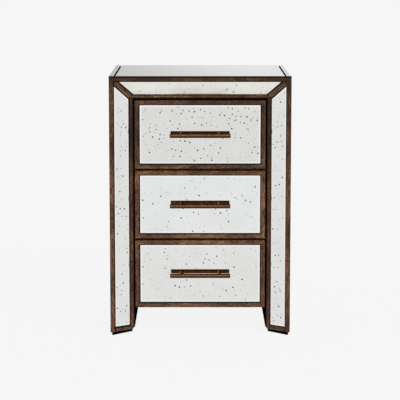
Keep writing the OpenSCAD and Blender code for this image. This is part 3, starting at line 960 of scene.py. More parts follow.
@dataclass(frozen=True)
class AgedBronze:
    """Turned brass with a brown patina, waxed: a warm, fairly glossy brown.

    A surface that faces the given direction gets the lighter tones: a painted highlight, which draws the
    light line along the bar and the light flank of each post. Every other surface gets the deep tone: painted
    shade, as on the bar's top and underside and on the dark flank of each post. Both follow measured tones
    and stay where they are under any light. The brush lines are drawn half a millimetre apart, coarser than
    real ones, to show.
    """

    name: str = "brown_patinated_bronze"
    # Colours of the painted highlight, mixed in random patches.
    rubbed_and_narrow_shade: str = "#ad8258"
    patina: str = "#8f663f"
    # Colour of the painted shade on every surface that faces away.
    deep: str = "#573720"
    # Direction, and range of facing, that get the painted highlight.
    painted_highlight_toward: tuple[float, float, float] = (0.0, -0.9, 0.436)
    painted_highlight_range: tuple[float, float] = (0.91, 0.995)
    grazing: str = "#b08a66"
    patch: float = 9.0
    brush: float = 0.5
    brush_length: float = 25.0
    roughness: float = 0.26

    def material(self) -> bpy.types.Material:
        """Builds the material on Object coordinates, in millimetres.

        Returns:
            The material.
        """
        made = bpy.data.materials.new(self.name)
        nodes = Nodes(made)
        texture = nodes.add("TexCoord")
        at = texture.outputs["Object"]
        facing = nodes.add("VectorMath", {0: texture.outputs["Normal"], 1: self.painted_highlight_toward},
                           operation="DOT_PRODUCT").outputs["Value"]
        patch = nodes.add("TexNoise", {"Vector": at, "Scale": PER_METRE / self.patch,
                                       "Detail": 2.0}).outputs[0]
        brush_scale = (PER_METRE / self.brush_length, PER_METRE / self.brush, PER_METRE / self.brush)
        line_at = nodes.add("Mapping", {0: at, 3: brush_scale}).outputs[0]
        line = nodes.add("TexNoise", {"Vector": line_at, "Scale": 1.0, "Detail": 1.0}).outputs[0]
        thin = nodes.add("MapRange", {0: patch, 1: 0.3, 2: 0.7}, **SMOOTH).outputs[0]
        tone = nodes.add("Mix", {0: thin, 6: colour(self.patina), 7: colour(self.rubbed_and_narrow_shade)}, **BLEND).outputs[2]
        # Painted highlight where the surface faces the given direction, painted shade elsewhere.
        lit = nodes.add("MapRange", {0: facing, 1: self.painted_highlight_range[0], 2: self.painted_highlight_range[1]},
                        **SMOOTH).outputs[0]
        tone = nodes.add("Mix", {0: lit, 6: colour(self.deep), 7: tone}, **BLEND).outputs[2]
        rough = nodes.add("MapRange", {0: patch, 1: 0.3, 2: 0.7, 3: self.roughness + 0.12,
                                       4: self.roughness - 0.04}, **SMOOTH).outputs[0]
        bump = nodes.add("Bump", {"Strength": 0.15, "Distance": FINE_RELIEF, "Height": line})
        shader = nodes.add("BsdfPrincipled", {"Base Color": tone, "Metallic": 1.0, "Roughness": rough,
                                              "Normal": bump.outputs[0],
                                              "Specular Tint": colour(self.grazing)})
        nodes.add("OutputMaterial", {0: shader.outputs[0]})
        return made


@dataclass(frozen=True)
class ZincSteel:
    """Rolled steel, zinc plated and black passivated: smoky black, with fine rolling lines.

    The lines run along the depth and are drawn coarser than real ones, to
    show.
    """

    name: str = "black_passivated_zinc_steel"
    bright: str = "#4a4c4e"
    dull: str = "#2e3032"
    line: float = 0.7
    line_length: float = 40.0
    patch: float = 12.0
    roughness: float = 0.32

    def material(self) -> bpy.types.Material:
        """Builds the material on Object coordinates, in millimetres.

        Returns:
            The material.
        """
        made = bpy.data.materials.new(self.name)
        nodes = Nodes(made)
        at = nodes.add("TexCoord").outputs["Object"]
        line_scale = (PER_METRE / self.line, PER_METRE / self.line_length, PER_METRE / self.line)
        line_at = nodes.add("Mapping", {0: at, 3: line_scale}).outputs[0]
        line = nodes.add("TexNoise", {"Vector": line_at, "Scale": 1.0, "Detail": 2.0}).outputs[0]
        patch = nodes.add("TexNoise", {"Vector": at, "Scale": PER_METRE / self.patch,
                                       "Detail": 3.0}).outputs[0]
        tone = nodes.add("Mix", {0: patch, 6: colour(self.bright), 7: colour(self.dull)}, **BLEND).outputs[2]
        rough = nodes.add("MapRange", {0: line, 1: 0.3, 2: 0.7, 3: self.roughness - 0.06,
                                       4: self.roughness + 0.1}, **SMOOTH).outputs[0]
        bump = nodes.add("Bump", {"Strength": 0.15, "Distance": FINE_RELIEF, "Height": line})
        shader = nodes.add("BsdfPrincipled", {"Base Color": tone, "Metallic": 1.0, "Roughness": rough,
                                              "Normal": bump.outputs[0]})
        nodes.add("OutputMaterial", {0: shader.outputs[0]})
        return made


@dataclass
class Finishes:
    """Every material of the cabinet, made once.

    Tones and specks differ by piece, following measured tones. The legs' inner strips get a darker copy of
    the stained wood, which is painted shade. Some of that may be uneven light there.
    """

    wood: bpy.types.Material = field(default_factory=lambda: StainedMoulding().material())
    # A darker copy of the stained wood for the legs' inner strips: painted shade.
    shaded_inner_wood: bpy.types.Material = field(default_factory=lambda: StainedMoulding(
        "stained_hardwood_inner_moulding", stain="#472b1a", worn_and_edge_shade="#82593d", upper="#b4b4b4").material())
    header_wood: bpy.types.Material = field(default_factory=lambda: StainedMoulding(
        "stained_hardwood_header_moulding", worn_and_edge_shade="#b1815b", upper="#ffffff").material())
    drawer_wood: bpy.types.Material = field(default_factory=lambda: StainedMoulding(
        "stained_hardwood_drawer_moulding", stain="#56341e", worn_and_edge_shade="#a37550").material())
    rim: bpy.types.Material = field(default_factory=lambda: PolishedRim().material())
    seam: bpy.types.Material = field(default_factory=lambda: SeamedEdge().material())
    blackened: bpy.types.Material = field(default_factory=lambda: SeamedEdge(
        "blackened_glass_edge", deep="#050505", chip="#0c0d0c", roughness=0.85, sheen_level=0.0).material())
    clear: bpy.types.Material = field(default_factory=lambda: PlainMirror().material())
    edge_clear: bpy.types.Material = field(default_factory=lambda: PlainMirror(
        "clear_silvered_edge_strip", silver="#afb0ae", veil="#a9aaa8").material())
    black: bpy.types.Material = field(default_factory=lambda: BlackBoard().material())
    back_black: bpy.types.Material = field(default_factory=lambda: BlackBoard(
        "black_back_panel", scuff="#1c1612", sheen_level=0.03).material())
    bronze: bpy.types.Material = field(default_factory=lambda: AgedBronze().material())
    # The posts: a pale painted highlight on one flank and painted shade on the other.
    post_bronze: bpy.types.Material = field(default_factory=lambda: AgedBronze(
        "brown_patinated_bronze_posts", rubbed_and_narrow_shade="#e6d4c0", patina="#d8c2aa", deep="#1f120a",
        painted_highlight_toward=(-0.8, 0.0, 0.6), painted_highlight_range=(0.5, 0.85)).material())
    zinc: bpy.types.Material = field(default_factory=lambda: ZincSteel().material())
    box_wood: bpy.types.Material = field(default_factory=lambda: PlainBoard(
        "plain_wood_box", Grain.DEPTH, BOX_REAR).material())
    plain_depth: bpy.types.Material = field(default_factory=lambda: PlainBoard(
        "plain_wood_depth", Grain.DEPTH).material())
    plain_across: bpy.types.Material = field(default_factory=lambda: PlainBoard(
        "plain_wood_across", Grain.ACROSS).material())
    leg_mirror: bpy.types.Material = field(default_factory=lambda: FoxedMirror(
        "foxed_mirror_legs", 0.38, 0.18, silver="#e8e9e7").material())
    header_mirror: bpy.types.Material = field(default_factory=lambda: FoxedMirror(
        "foxed_mirror_header", 0.09, 0.10, silver="#f8f9f1", roughness=0.3, mirroring=0.28).material())
    drawer_mirrors: dict[Layer, bpy.types.Material] = field(default_factory=lambda: {
        Layer.UPPER: FoxedMirror("foxed_mirror_upper", 0.44, 0.28, silver="#e4e5e3",
                                 speck="#181310").material(),
        Layer.MIDDLE: FoxedMirror("foxed_mirror_middle", 0.22, 0.18, speck_size=(0.9, 2.4),
                                  silver="#ecefed", speck="#181310").material(),
        Layer.LOWER: FoxedMirror("foxed_mirror_lower", 0.26, 0.20, silver="#e9eae8",
                                 speck="#38312b").material(),
    })


def place(name: str, shells: Iterable[Shell], finishes: Sequence[bpy.types.Material], body: str,
          nodes: Sequence[str]) -> bpy.types.Object:
    """Makes one piece from its skins and sets it on its CAD body.

    Args:
        name: Name of the piece.
        shells: Closed skins.
        finishes: Materials, by the skins' finish numbers.
        body: CAD body that it moves with.
        nodes: CAD nodes that it stands for.

    Returns:
        The object.
    """
    parts = list(shells)
    offsets = np.cumsum([0] + [len(p.points) for p in parts])
    faces = [[i + int(o) for i in f] for p, o in zip(parts, offsets) for f in p.faces]
    mesh = bpy.data.meshes.new(name)
    mesh.from_pydata(np.concatenate([p.points for p in parts]).tolist(), [], faces)
    mesh.uv_layers.new(name="UVMap").data.foreach_set(
        "uv", np.concatenate([p.uv for p in parts]).astype(np.float32).ravel())
    mesh.polygons.foreach_set("material_index", np.concatenate([p.finish for p in parts]).astype(np.int32))
    mesh.polygons.foreach_set("use_smooth", np.ones(len(faces), bool))
    mesh.attributes.new(OPEN, "FLOAT", "POINT").data.foreach_set(
        "value", np.concatenate([p.open for p in parts]).astype(np.float32))
    work = bmesh.new()
    work.from_mesh(mesh)
    bmesh.ops.recalc_face_normals(work, faces=work.faces)
    work.to_mesh(mesh)
    work.free()
    mesh.set_sharp_from_angle(angle=SHARP_ANGLE)
    for finish in finishes:
        mesh.materials.append(finish)
    made = bpy.data.objects.new(name, mesh)
    bpy.context.scene.collection.objects.link(made)
    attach(made, body)
    if nodes:
        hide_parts(*nodes)
    LOG.info("%s: %d faces on body %s", name, len(faces), body)
    return made


@dataclass
class SplayedFront:
    """The two splayed legs and the splayed header, with mouldings and mirrors."""

    sizes: Sizes
    finishes: Finishes
    edge: float = 0.0024
    soft: float = 0.0012
    # The next five are widths of painted shade at the corners of the sections.
    dark: float = 0.0055
    rubbed_and_narrow_shade: float = 0.0026
    thin: float = 0.0016
    cover: float = 0.0034
    worn_and_edge_shade: float = 0.0018
    rim: float = 0.0035
    rim_drop: float = 0.0004
    foot_joint: float = 0.0006
    glass_side: float = 0.0004
    inner_grain: float = 0.13
    foot_grain: tuple[float, float] = (0.61, 0.23)
    mitre_grain: tuple[float, float] = (0.41, 0.57)
    header_grain: tuple[float, float] = (0.71, 0.83)

    @property
    def leg(self) -> Face:
        """The left leg face: right runs in from the outer edge, up is the height.

        Returns:
            The face.
        """
        s = self.sizes
        right = np.array([s.leg_run, s.recess, 0]) / s.leg_len
        return Face(np.array([-s.half_w, s.front_y, 0]), right, Z, np.array([-right[1], right[0], 0]))

    @property
    def header(self) -> Face:
        """The header face: right is X, up runs down the slope.

        Returns:
            The face.
        """
        s = self.sizes
        down = np.array([0, s.recess, -s.header_drop]) / s.head_len
        return Face(np.array([0, s.front_y, s.splay_top]), X, down, np.array([0, -down[2], down[1]]))

    @property
    def mitre(self) -> Plane:
        """The cut between the left leg and the header, half-way between their faces."""
        corner = np.array([-self.sizes.half_w, self.sizes.front_y, self.sizes.splay_top])
        return Plane(corner, self.header.inward * [0, 1, 1] - self.leg.inward)

    def bottom(self, x: float, size: float) -> Any:
        """Lower end of a leg moulding: the plinth, with a 45 degree cut at one edge.

        Args:
            x: Where the cut's corner is.
            size: How much the cut takes off.

        Returns:
            A function from points to the height of the lower end.
        """
        level = self.sizes.plinth_h
        return lambda points: level + np.maximum(0, size - np.abs(points[:, 0] - x))

    def corner_post(self, dark: float) -> Shell:
        """Outer moulding of the left leg: a band on the splay and one round the side.

        Args:
            dark: Width of the painted shade next to the glass.

        Returns:
            The skin.
        """
        s, leg = self.sizes, self.leg
        start = np.array([-s.half_w, s.front_y])
        band = start + s.outer_strip_w * leg.right[:2]
        inner = band + s.strip_t * leg.inward[:2]
        corner_y = s.front_y + s.strip_t * (1 + leg.right[1]) / leg.right[0]
        section = moulded(
            [start, band, inner, [-s.side_face, corner_y], [-s.side_face, s.front_y + s.side_strip_w],
             [-s.half_w, s.front_y + s.side_strip_w]],
            [self.soft, self.edge, 0, 0, 0, self.edge], [self.worn_and_edge_shade, dark, 0, 0, 0, self.dark])
        upright = Face(np.zeros(3), X, Z, Y)

        def top(points: Array) -> Array:
            """The mitre, and the top glass on the side band.

            Args:
                points: Points of the section.

            Returns:
                The height of the upper end at each point.
            """
            level = np.where(points[:, 1] < s.glass_front, s.splay_top, s.glass_base)
            cut = self.mitre.reach(points, Z)
            beside = (points[:, 0] < -s.side_face + TINY) & (points[:, 1] > corner_y + TINY)
            return np.where(beside, level, np.minimum(level, cut))

        return stick(section, upright, self.bottom(-s.half_w, s.outer_chamfer), top)

    def inner_strip(self) -> Shell:
        """Inner moulding of the left leg, along the drawers.

        Returns:
            The skin.
        """
        s, leg = self.sizes, self.leg
        far = s.strip_t / leg.right[0]
        section = moulded([[s.inner_s, 0], [s.leg_len, 0], [s.leg_len + far * leg.right[1], s.strip_t],
                           [s.inner_s, s.strip_t]],
                          [self.edge, self.soft, 0, 0], [self.thin, self.rubbed_and_narrow_shade, 0, 0])
        return stick(section, leg, self.bottom(-s.splay_half, s.inner_chamfer),
                     lambda points: self.mitre.reach(points, Z), self.inner_grain)

    def foot_strip(self, dark: float) -> list[Shell]:
        """Bottom moulding of the left leg.

        Args:
            dark: Width of the painted shade next to the glass.

        Returns:
            The short block at its outer end, and the rest of the length.
        """
        s, leg = self.sizes, self.leg
        section = moulded([[s.plinth_h, 0], [s.plinth_h + s.foot_strip_h, 0],
                           [s.plinth_h + s.foot_strip_h, s.strip_t], [s.plinth_h, s.strip_t]],
                          [self.soft, self.edge, 0, 0], [self.worn_and_edge_shade, dark, 0, 0])
        level = Face(leg.origin, Z, leg.right, leg.inward)
        joint = s.outer_strip_w + s.foot_block
        spans = [(s.outer_strip_w, joint - self.foot_joint, self.foot_grain[0]),
                 (joint, s.inner_s - s.joint_gap, self.foot_grain[1])]
        return [stick(section, level, *span) for span in spans]

    def mitre_half(self, face: Face, along: Array, ends: tuple[float, float], shift: float) -> Shell:
        """One half of the moulding over the corner mitre.

        The half is a section between the mitre cut and the glass, carried
        along the line where the leg face and the header face meet.

        Args:
            face: The leg face or the header face.
            along: Direction of the mitre line.
            ends: Where it starts and ends, as distances from the outer edge.
            shift: Moves the grain.

        Returns:
            The skin.
        """
        s = self.sizes
        away = unit(np.cross(along, face.inward))
        inside = -self.mitre.normal if face.up is Z else self.mitre.normal
        away = away if away @ inside > 0 else -away
        lean = (self.mitre.normal @ face.inward) / (self.mitre.normal @ away)
        section = moulded([[0, 0], [s.mitre_half_w, 0], [s.mitre_half_w, s.strip_t],
                           [-lean * s.strip_t, s.strip_t]],
                          [0, self.edge, 0, 0], [0, self.cover, 0, 0])
        cut = face.right if face.up is Z else face.up
        corner = self.mitre.point
        line = Face(corner, away, along, face.inward)
        planes = [Plane(corner + cut * e, cut) for e in ends]
        return stick(section, line, lambda p: planes[0].reach(p, along),
                     lambda p: planes[1].reach(p, along), shift)

    def mitre_strip(self) -> list[Shell]:
        """Both halves of the moulding over the left corner mitre.

        Returns:
            The half on the leg and the half on the header.
        """
        s = self.sizes
        along = unit(np.array([s.leg_run, s.recess, -s.header_drop]))
        ends = (s.outer_strip_w, s.inner_s - s.joint_gap)
        scaled = (ends[0] * s.head_scale, ends[1] * s.head_scale)
        return [self.mitre_half(self.leg, along, ends, self.mitre_grain[0]),
                self.mitre_half(self.header, along, scaled, self.mitre_grain[1])]

    def across(self, section: Section, shift: float) -> Shell:
        """A moulding that runs across the front, cut by both mitres and never wider than the body.

        Args:
            section: Cross-section in Y and Z.
            shift: Moves the grain.

        Returns:
            The skin.
        """
        s, mitre = self.sizes, self.mitre
        run = Face(np.zeros(3), Y, X, Z)

        def left(points: Array) -> Array:
            """The left end: the mitre, or the side of the body above it."""
            return np.maximum(-s.half_w, mitre.reach(points, X))

        return stick(section, run, left, lambda points: -left(points), shift)

    def header_strip(self) -> Shell:
        """Upper moulding of the header, whose crown frames the top glass.

        Returns:
            The skin.
        """
        s, head = self.sizes, self.header
        start = np.array([s.front_y, s.splay_top])
        band = start + s.outer_strip_w * s.head_scale * head.up[1:]
        section = moulded([[s.front_y, s.body_h], start, band, band + s.strip_t * head.inward[1:],
                           [s.glass_front, s.glass_base], [s.glass_front, s.body_h]],
                          [self.soft, self.soft, self.edge, 0, 0, self.glass_side],
                          [self.dark, self.worn_and_edge_shade, self.dark, 0, 0, 0])
        return self.across(section, self.header_grain[0])

    def header_inner_strip(self) -> Shell:
        """Lower moulding of the header, over the upper drawer.

        Returns:
            The skin.
        """
        s, head = self.sizes, self.header
        far = s.strip_t / -head.up[2]
        inner = s.inner_s * s.head_scale
        corners = [[inner, 0], [s.head_len, 0], [s.head_len + far * head.up[1], s.strip_t],
                   [inner, s.strip_t]]
        flat = moulded(corners, [self.edge, self.soft, 0, 0], [self.worn_and_edge_shade, self.dark, 0, 0])
        turned_in = flat.outline[:, :1] * head.up[1:] + flat.outline[:, 1:] * head.inward[1:]
        return self.across(Section([s.front_y, s.splay_top] + turned_in, flat.open), self.header_grain[1])

    def leg_glass(self) -> Shell:
        """Mirror of the left leg.

        Returns:
            The skin.
        """
        s = self.sizes
        slope = s.header_drop / s.leg_len
        drop = s.mitre_half_w / math.cos(math.atan(slope))
        foot = s.plinth_h + s.foot_strip_h
        a, b = s.outer_strip_w, s.inner_s
        outline = np.array([[a, foot], [b, foot], [b, s.splay_top - b * slope - drop],
                            [a, s.splay_top - a * slope - drop]])
        return pane(outline, self.leg, s.strip_t - s.glass_t, s.strip_t, self.rim, self.rim_drop)

    def header_glass(self) -> Shell:
        """Mirror of the header.

        Returns:
            The skin.
        """
        s = self.sizes
        slope = s.leg_run / s.head_len
        side = s.mitre_half_w / math.cos(math.atan(slope))
        a, b = s.outer_strip_w * s.head_scale, s.inner_s * s.head_scale
        x0, x1 = s.half_w - a * slope - side, s.half_w - b * slope - side
        outline = np.array([[-x0, a], [-x1, b], [x1, b], [x0, a]])
        return pane(outline, self.header, s.strip_t - s.glass_t, s.strip_t, self.rim, self.rim_drop)

    def build(self) -> None:
        """Makes every piece of the splayed front."""
        f = self.finishes
        wood, glass = [f.wood], [f.leg_mirror, f.rim, f.black, f.seam]
        for side in Side:
            hand = side.value
            # Painted shade next to the glass: wider on the left leg than on the right.
            dark = self.dark if side is Side.LEFT else self.rubbed_and_narrow_shade
            place(f"post_moulding_{hand}", [self.corner_post(dark).on(side)], wood, "root",
                  [f"corner_post_{hand}"])
            strips = [self.inner_strip().finished(1), *self.foot_strip(dark),
                      *[half.finished(2) for half in self.mitre_strip()]]
            place(f"leg_moulding_{hand}", [strip.on(side) for strip in strips],
                  [f.wood, f.shaded_inner_wood, f.header_wood], "root", [f"splay_frame_{hand}"])
            place(f"leg_mirror_{hand}", [self.leg_glass().on(side)], glass, "root",
                  [f"splay_glass_{hand}"])
        place("header_moulding_upper", [self.header_strip()], wood, "root", ["header_strip"])
        place("header_moulding_lower", [self.header_inner_strip()], [f.header_wood], "root",
              ["header_inner_strip"])
        place("header_mirror", [self.header_glass()], [f.header_mirror, f.rim, f.black, f.seam], "root",
              ["header_glass"])


@dataclass
class SidesAndTop:
    """The mirrored sides with their mouldings, and the three panes of the top."""

    sizes: Sizes
    finishes: Finishes
    edge: float = 0.0024
    # The next two are widths of painted shade at the corners of the sections.
    dark: float = 0.0052
    worn_and_edge_shade: float = 0.0018
    rim: float = 0.0030
    rim_drop: float = 0.0004
    top_rim: float = 0.0020
    top_drop: float = 0.00004
    post_grain: float = 0.19
    rail_grain: tuple[float, float] = (0.29, 0.37)
    edge_shift: float = 0.2

    def rear_post(self) -> Shell:
        """Moulding up the rear edge of the left side, cut at 45 degrees under its outer edge.

        Returns:
            The skin.
        """
        s = self.sizes
        y1 = s.back_y - s.side_strip_w
        section = moulded([[-s.half_w, y1], [-s.half_w, s.back_y], [-s.side_face, s.back_y],
                           [-s.side_face, y1]],
                          [self.edge, self.edge, 0, 0], [self.dark, self.worn_and_edge_shade, 0, 0])
        upright = Face(np.zeros(3), X, Z, Y)

        def foot(points: Array) -> Array:
            """The plinth, and the 45 degree cut."""
            return s.plinth_h + np.maximum(0, s.outer_chamfer - (points[:, 0] + s.half_w))

        return stick(section, upright, foot, s.glass_base, self.post_grain)

    def side_rail(self, z: float, shift: float) -> Shell:
        """Moulding along the left side.

        Args:
            z: Its lower edge.
            shift: Moves the grain.

        Returns:
            The skin.
        """
        s = self.sizes
        w = s.side_strip_w
        section = moulded([[z, 0], [z + w, 0], [z + w, s.strip_t], [z, s.strip_t]],
                          [self.edge, self.edge, 0, 0], [self.dark, self.dark, 0, 0])
        run = Face(np.array([-s.half_w, 0, 0]), Z, Y, X)
        return stick(section, run, s.front_y + w, s.back_y - w - s.joint_gap, shift)

    def side_pane(self) -> Shell:
        """Mirror of the left side.

        Returns:
            The skin.
        """
        s = self.sizes
        w = s.side_strip_w
        y0, y1 = s.front_y + w, s.back_y - w
        z0, z1 = s.plinth_h + w, s.glass_base - w
        outline = np.array([[y0, z0], [y1, z0], [y1, z1], [y0, z1]])
        face = Face(np.array([-s.half_w, 0, 0]), Y, Z, X)
        return pane(outline, face, s.strip_t - s.glass_t, s.strip_t, self.rim, self.rim_drop)

    def top_pane(self, x0: float, x1: float, shift: float, painted: Sequence[int] = (1, 3)) -> Shell:
        """One pane of the top.

        The paint beside a groove makes the dark line there wider than the
        groove itself, which rendered too thin and pale against the photo.

        Args:
            x0: X of its left side.
            x1: X of its right side.
            shift: Moves the pattern of the silvering.
            painted: Sides beside a groove, where black paint reaches over the rim.

        Returns:
            The skin.
        """
        s = self.sizes
        face = Face(np.array([0, 0, s.body_h]), X, Y, -Z)
        outline = np.array([[x0, s.glass_front], [x1, s.glass_front], [x1, s.back_y], [x0, s.back_y]])
        return pane(outline, face, 0.0, s.glass_t, self.top_rim, self.top_drop, shift, painted)

    def build(self) -> None:
        """Makes every piece of the sides and the top."""
        s, f = self.sizes, self.finishes
        glass = [f.clear, f.rim, f.black, f.seam]
        for side in Side:
            hand = side.value
            upper_z = s.glass_base - s.side_strip_w
            strips = [self.rear_post(), self.side_rail(s.plinth_h, self.rail_grain[0]),
                      self.side_rail(upper_z, self.rail_grain[1])]
            place(f"side_moulding_{hand}", [strip.on(side) for strip in strips], [f.wood], "root",
                  [f"side_frame_{hand}"])
            place(f"side_mirror_{hand}", [self.side_pane().on(side)], glass, "root",
                  [f"side_glass_{hand}"])
        half = s.half_w - s.top_edge_w - s.groove_w
        glass = [f.clear, f.rim, f.black, f.blackened]
        place("top_mirror", [self.top_pane(-half, half, 0.0)], glass, "root", ["top_glass"])
        edge = self.top_pane(-s.half_w, -s.half_w + s.top_edge_w, self.edge_shift, (1,))
        place("top_edge_mirrors", [edge, edge.mirrored()], [f.edge_clear, *glass[1:]], "root",
              ["top_edge_glass"])


@dataclass
class DrawerFront:
    """The visible front of one drawer: mirror, mitred moulding and bar pull."""

    sizes: Sizes
    finishes: Finishes
    layer: Layer
    edge: float = 0.0024
    soft: float = 0.0012
    # The next three are widths of painted shade at the corners of the section.
    dark: float = 0.0038
    rubbed_and_narrow_shade: float = 0.0028
    worn_and_edge_shade: float = 0.0014
    rim: float = 0.0035
    rim_drop: float = 0.0004
    bar_round: float = 0.0008
    post_flare: float = 0.0006
    arc_points: int = 6
    post_points: int = 24
    layer_grain: float = 0.11
    length_grain: float = 0.23
    mirror_shift: float = 0.35

    @property
    def body(self) -> str:
        """The CAD body of this drawer."""
        return f"{self.layer.name.lower()}_drawer"

    @property
    def face(self) -> Face:
        """The outer face of the moulding, measured from the drawer's lower edge."""
        s = self.sizes
        return Face(np.array([0, s.front_board_y - s.strip_t, s.drawer_z(self.layer)]), X, Z, Y)

    def moulding(self) -> list[Shell]:
        """The four mitred lengths round the mirror.

        Each length has the same section, and each point of it runs between two 45 degree cuts, so the length
        shrinks by its distance from the outer edge at both ends. The lower and the left length get the widest
        painted shade next to the glass.

        Returns:
            Lower, upper, left and right lengths.
        """
        s, face = self.sizes, self.face
        w, t = s.frame_w, s.strip_t
        across, height = s.front_half, s.front_h
        low_left = face.origin - across * X
        corners = [(low_left, Z, X, 2 * across), (low_left + height * Z, -Z, X, 2 * across),
                   (low_left, X, Z, height), (low_left + 2 * across * X, -X, Z, height)]
        base = self.layer_grain * (1 + self.layer.value)
        lengths = []
        for number, (origin, right, up, length) in enumerate(corners):
            # Painted shade next to the glass: narrower on the upper and right lengths.
            dark = self.rubbed_and_narrow_shade if number in (1, 3) else self.dark
            section = moulded([[0, 0], [w, 0], [w, t], [0, t]], [self.soft, self.edge, 0, 0],
                              [self.worn_and_edge_shade, dark, 0, 0])
            inwards = section.outline[:, 0] + s.joint_gap / 2
            lengths.append(stick(section, Face(origin, right, up, Y), inwards, length - inwards,
                                 base + self.length_grain * number))
        return lengths

    def mirror(self) -> Shell:
        """The mirror inside the moulding.

        Returns:
            The skin.
        """
        s = self.sizes
        w, half = s.frame_w, s.front_half
        outline = np.array([[w - half, w], [half - w, w], [half - w, s.front_h - w],
                            [w - half, s.front_h - w]])
        return pane(outline, self.face, s.strip_t - s.glass_t, s.strip_t, self.rim, self.rim_drop,
                    self.mirror_shift * self.layer.value)

    def pull(self) -> list[Shell]:
        """The round bar and its two posts.

        The bar's radius falls along a quarter circle at both ends, and each
        post widens by a quarter circle where it meets the glass.

        Returns:
            The bar and the two posts.
        """
        s = self.sizes
        z = s.drawer_z(self.layer) + s.front_h / 2
        bar_y = s.glass_y - s.bar_reach
        turn = np.linspace(0, np.pi / 2, self.arc_points)
        nose = self.bar_round * (1 - np.cos(turn))
        fall = self.bar_round * (1 - np.sin(turn))
        half = s.bar_len / 2
        places = np.concatenate([nose - half, [0], half - nose[::-1]])
        radii = s.bar_d / 2 - np.concatenate([fall, [0], fall[::-1]])
        bar = turned(radii, places, np.array([0, bar_y, z]), X)
        flare = self.post_flare * (1 - np.sin(turn))
        lengths = np.concatenate([[0.0], s.bar_reach - self.post_flare * (1 - np.cos(turn))[::-1]])
        widths = s.post_d / 2 + np.concatenate([[0.0], flare[::-1]])
        posts = [turned(widths, lengths, np.array([side * s.post_pitch / 2, bar_y, z]), Y, self.post_points)
                 for side in (-1, 1)]
        return [bar, *[post.finished(1) for post in posts]]

    def build(self) -> None:
        """Makes the pieces of this drawer's front."""
        f, name = self.finishes, self.layer.name.lower()
        place(f"{name}_drawer_moulding", self.moulding(), [f.drawer_wood], self.body,
              [f"{name}_front_frame"])
        place(f"{name}_drawer_mirror", [self.mirror()],
              [f.drawer_mirrors[self.layer], f.rim, f.black, f.seam], self.body,
              [f"{name}_front_glass"])
        place(f"{name}_bar_pull", self.pull(), [f.bronze, f.post_bronze], self.body,
              [f"{name}_pull"])


@dataclass
class Carcass:
    """The CAD pieces that stay: they get their finishes and a small softened edge."""

    finishes: Finishes
    bevel: float = 0.0006
    bevel_angle: float = math.radians(40)

    def table(self) -> dict[str, tuple[bpy.types.Material, Slot, float]]:
        """Finish, slot and edge softness by the end of a CAD node's name.

        Returns:
            One row for each ending.
        """
        f = self.finishes
        return {
            "box_walls": (f.box_wood, Slot.PLAIN_WOOD, self.bevel),
            "box_bottom": (f.plain_across, Slot.PLAIN_WOOD, 0.0),
            "cross_rails": (f.plain_across, Slot.PLAIN_WOOD, self.bevel),
            "leg_battens": (f.plain_depth, Slot.PLAIN_WOOD, self.bevel),
            "runners": (f.zinc, Slot.ZINC, 0.0),
            "runner_inner": (f.zinc, Slot.ZINC, 0.0),
            "runner_link": (f.zinc, Slot.ZINC, 0.0),
            "screws": (f.zinc, Slot.ZINC, 0.0),
            "board": (f.black, Slot.BLACK, self.bevel),
            "board_left": (f.black, Slot.BLACK, self.bevel),
            "board_right": (f.black, Slot.BLACK, self.bevel),
            "back_panel": (f.back_black, Slot.BLACK, 0.0),
            "inner_side_left": (f.black, Slot.BLACK, 0.0),
            "inner_side_right": (f.black, Slot.BLACK, 0.0),
            "plinth_left": (f.black, Slot.BLACK, self.bevel),
            "plinth_right": (f.black, Slot.BLACK, self.bevel),
        }

    def soften(self, piece: bpy.types.Object, width: float) -> None:
        """Welds the loose triangles and rounds the sharp edges.

        Args:
            piece: The CAD piece.
            width: Width of the rounding; 0 leaves the piece sharp.
        """
        if width <= 0:
            return
        weld = piece.modifiers.new("weld", "WELD")
        weld.merge_threshold = TINY
        bevel = piece.modifiers.new("soft_edge", "BEVEL")
        bevel.width, bevel.segments = width, 2
        bevel.limit_method, bevel.angle_limit = "ANGLE", self.bevel_angle
        bevel.harden_normals = False

    def build(self, nodes: dict[str, bpy.types.Object]) -> None:
        """Dresses every CAD piece that is still shown.

        Args:
            nodes: The CAD pieces by name.
        """
        ends = sorted(self.table().items(), key=lambda row: -len(row[0]))
        for name, piece in nodes.items():
            if piece.hide_render:
                continue
            finish, slot, width = next(row for end, row in ends if name.endswith(end))
            piece.data.materials.clear()
            piece.data.materials.append(finish)
            self.soften(piece, width)
            LOG.info("%s: kept from the CAD, finish %s", name, finish.name)


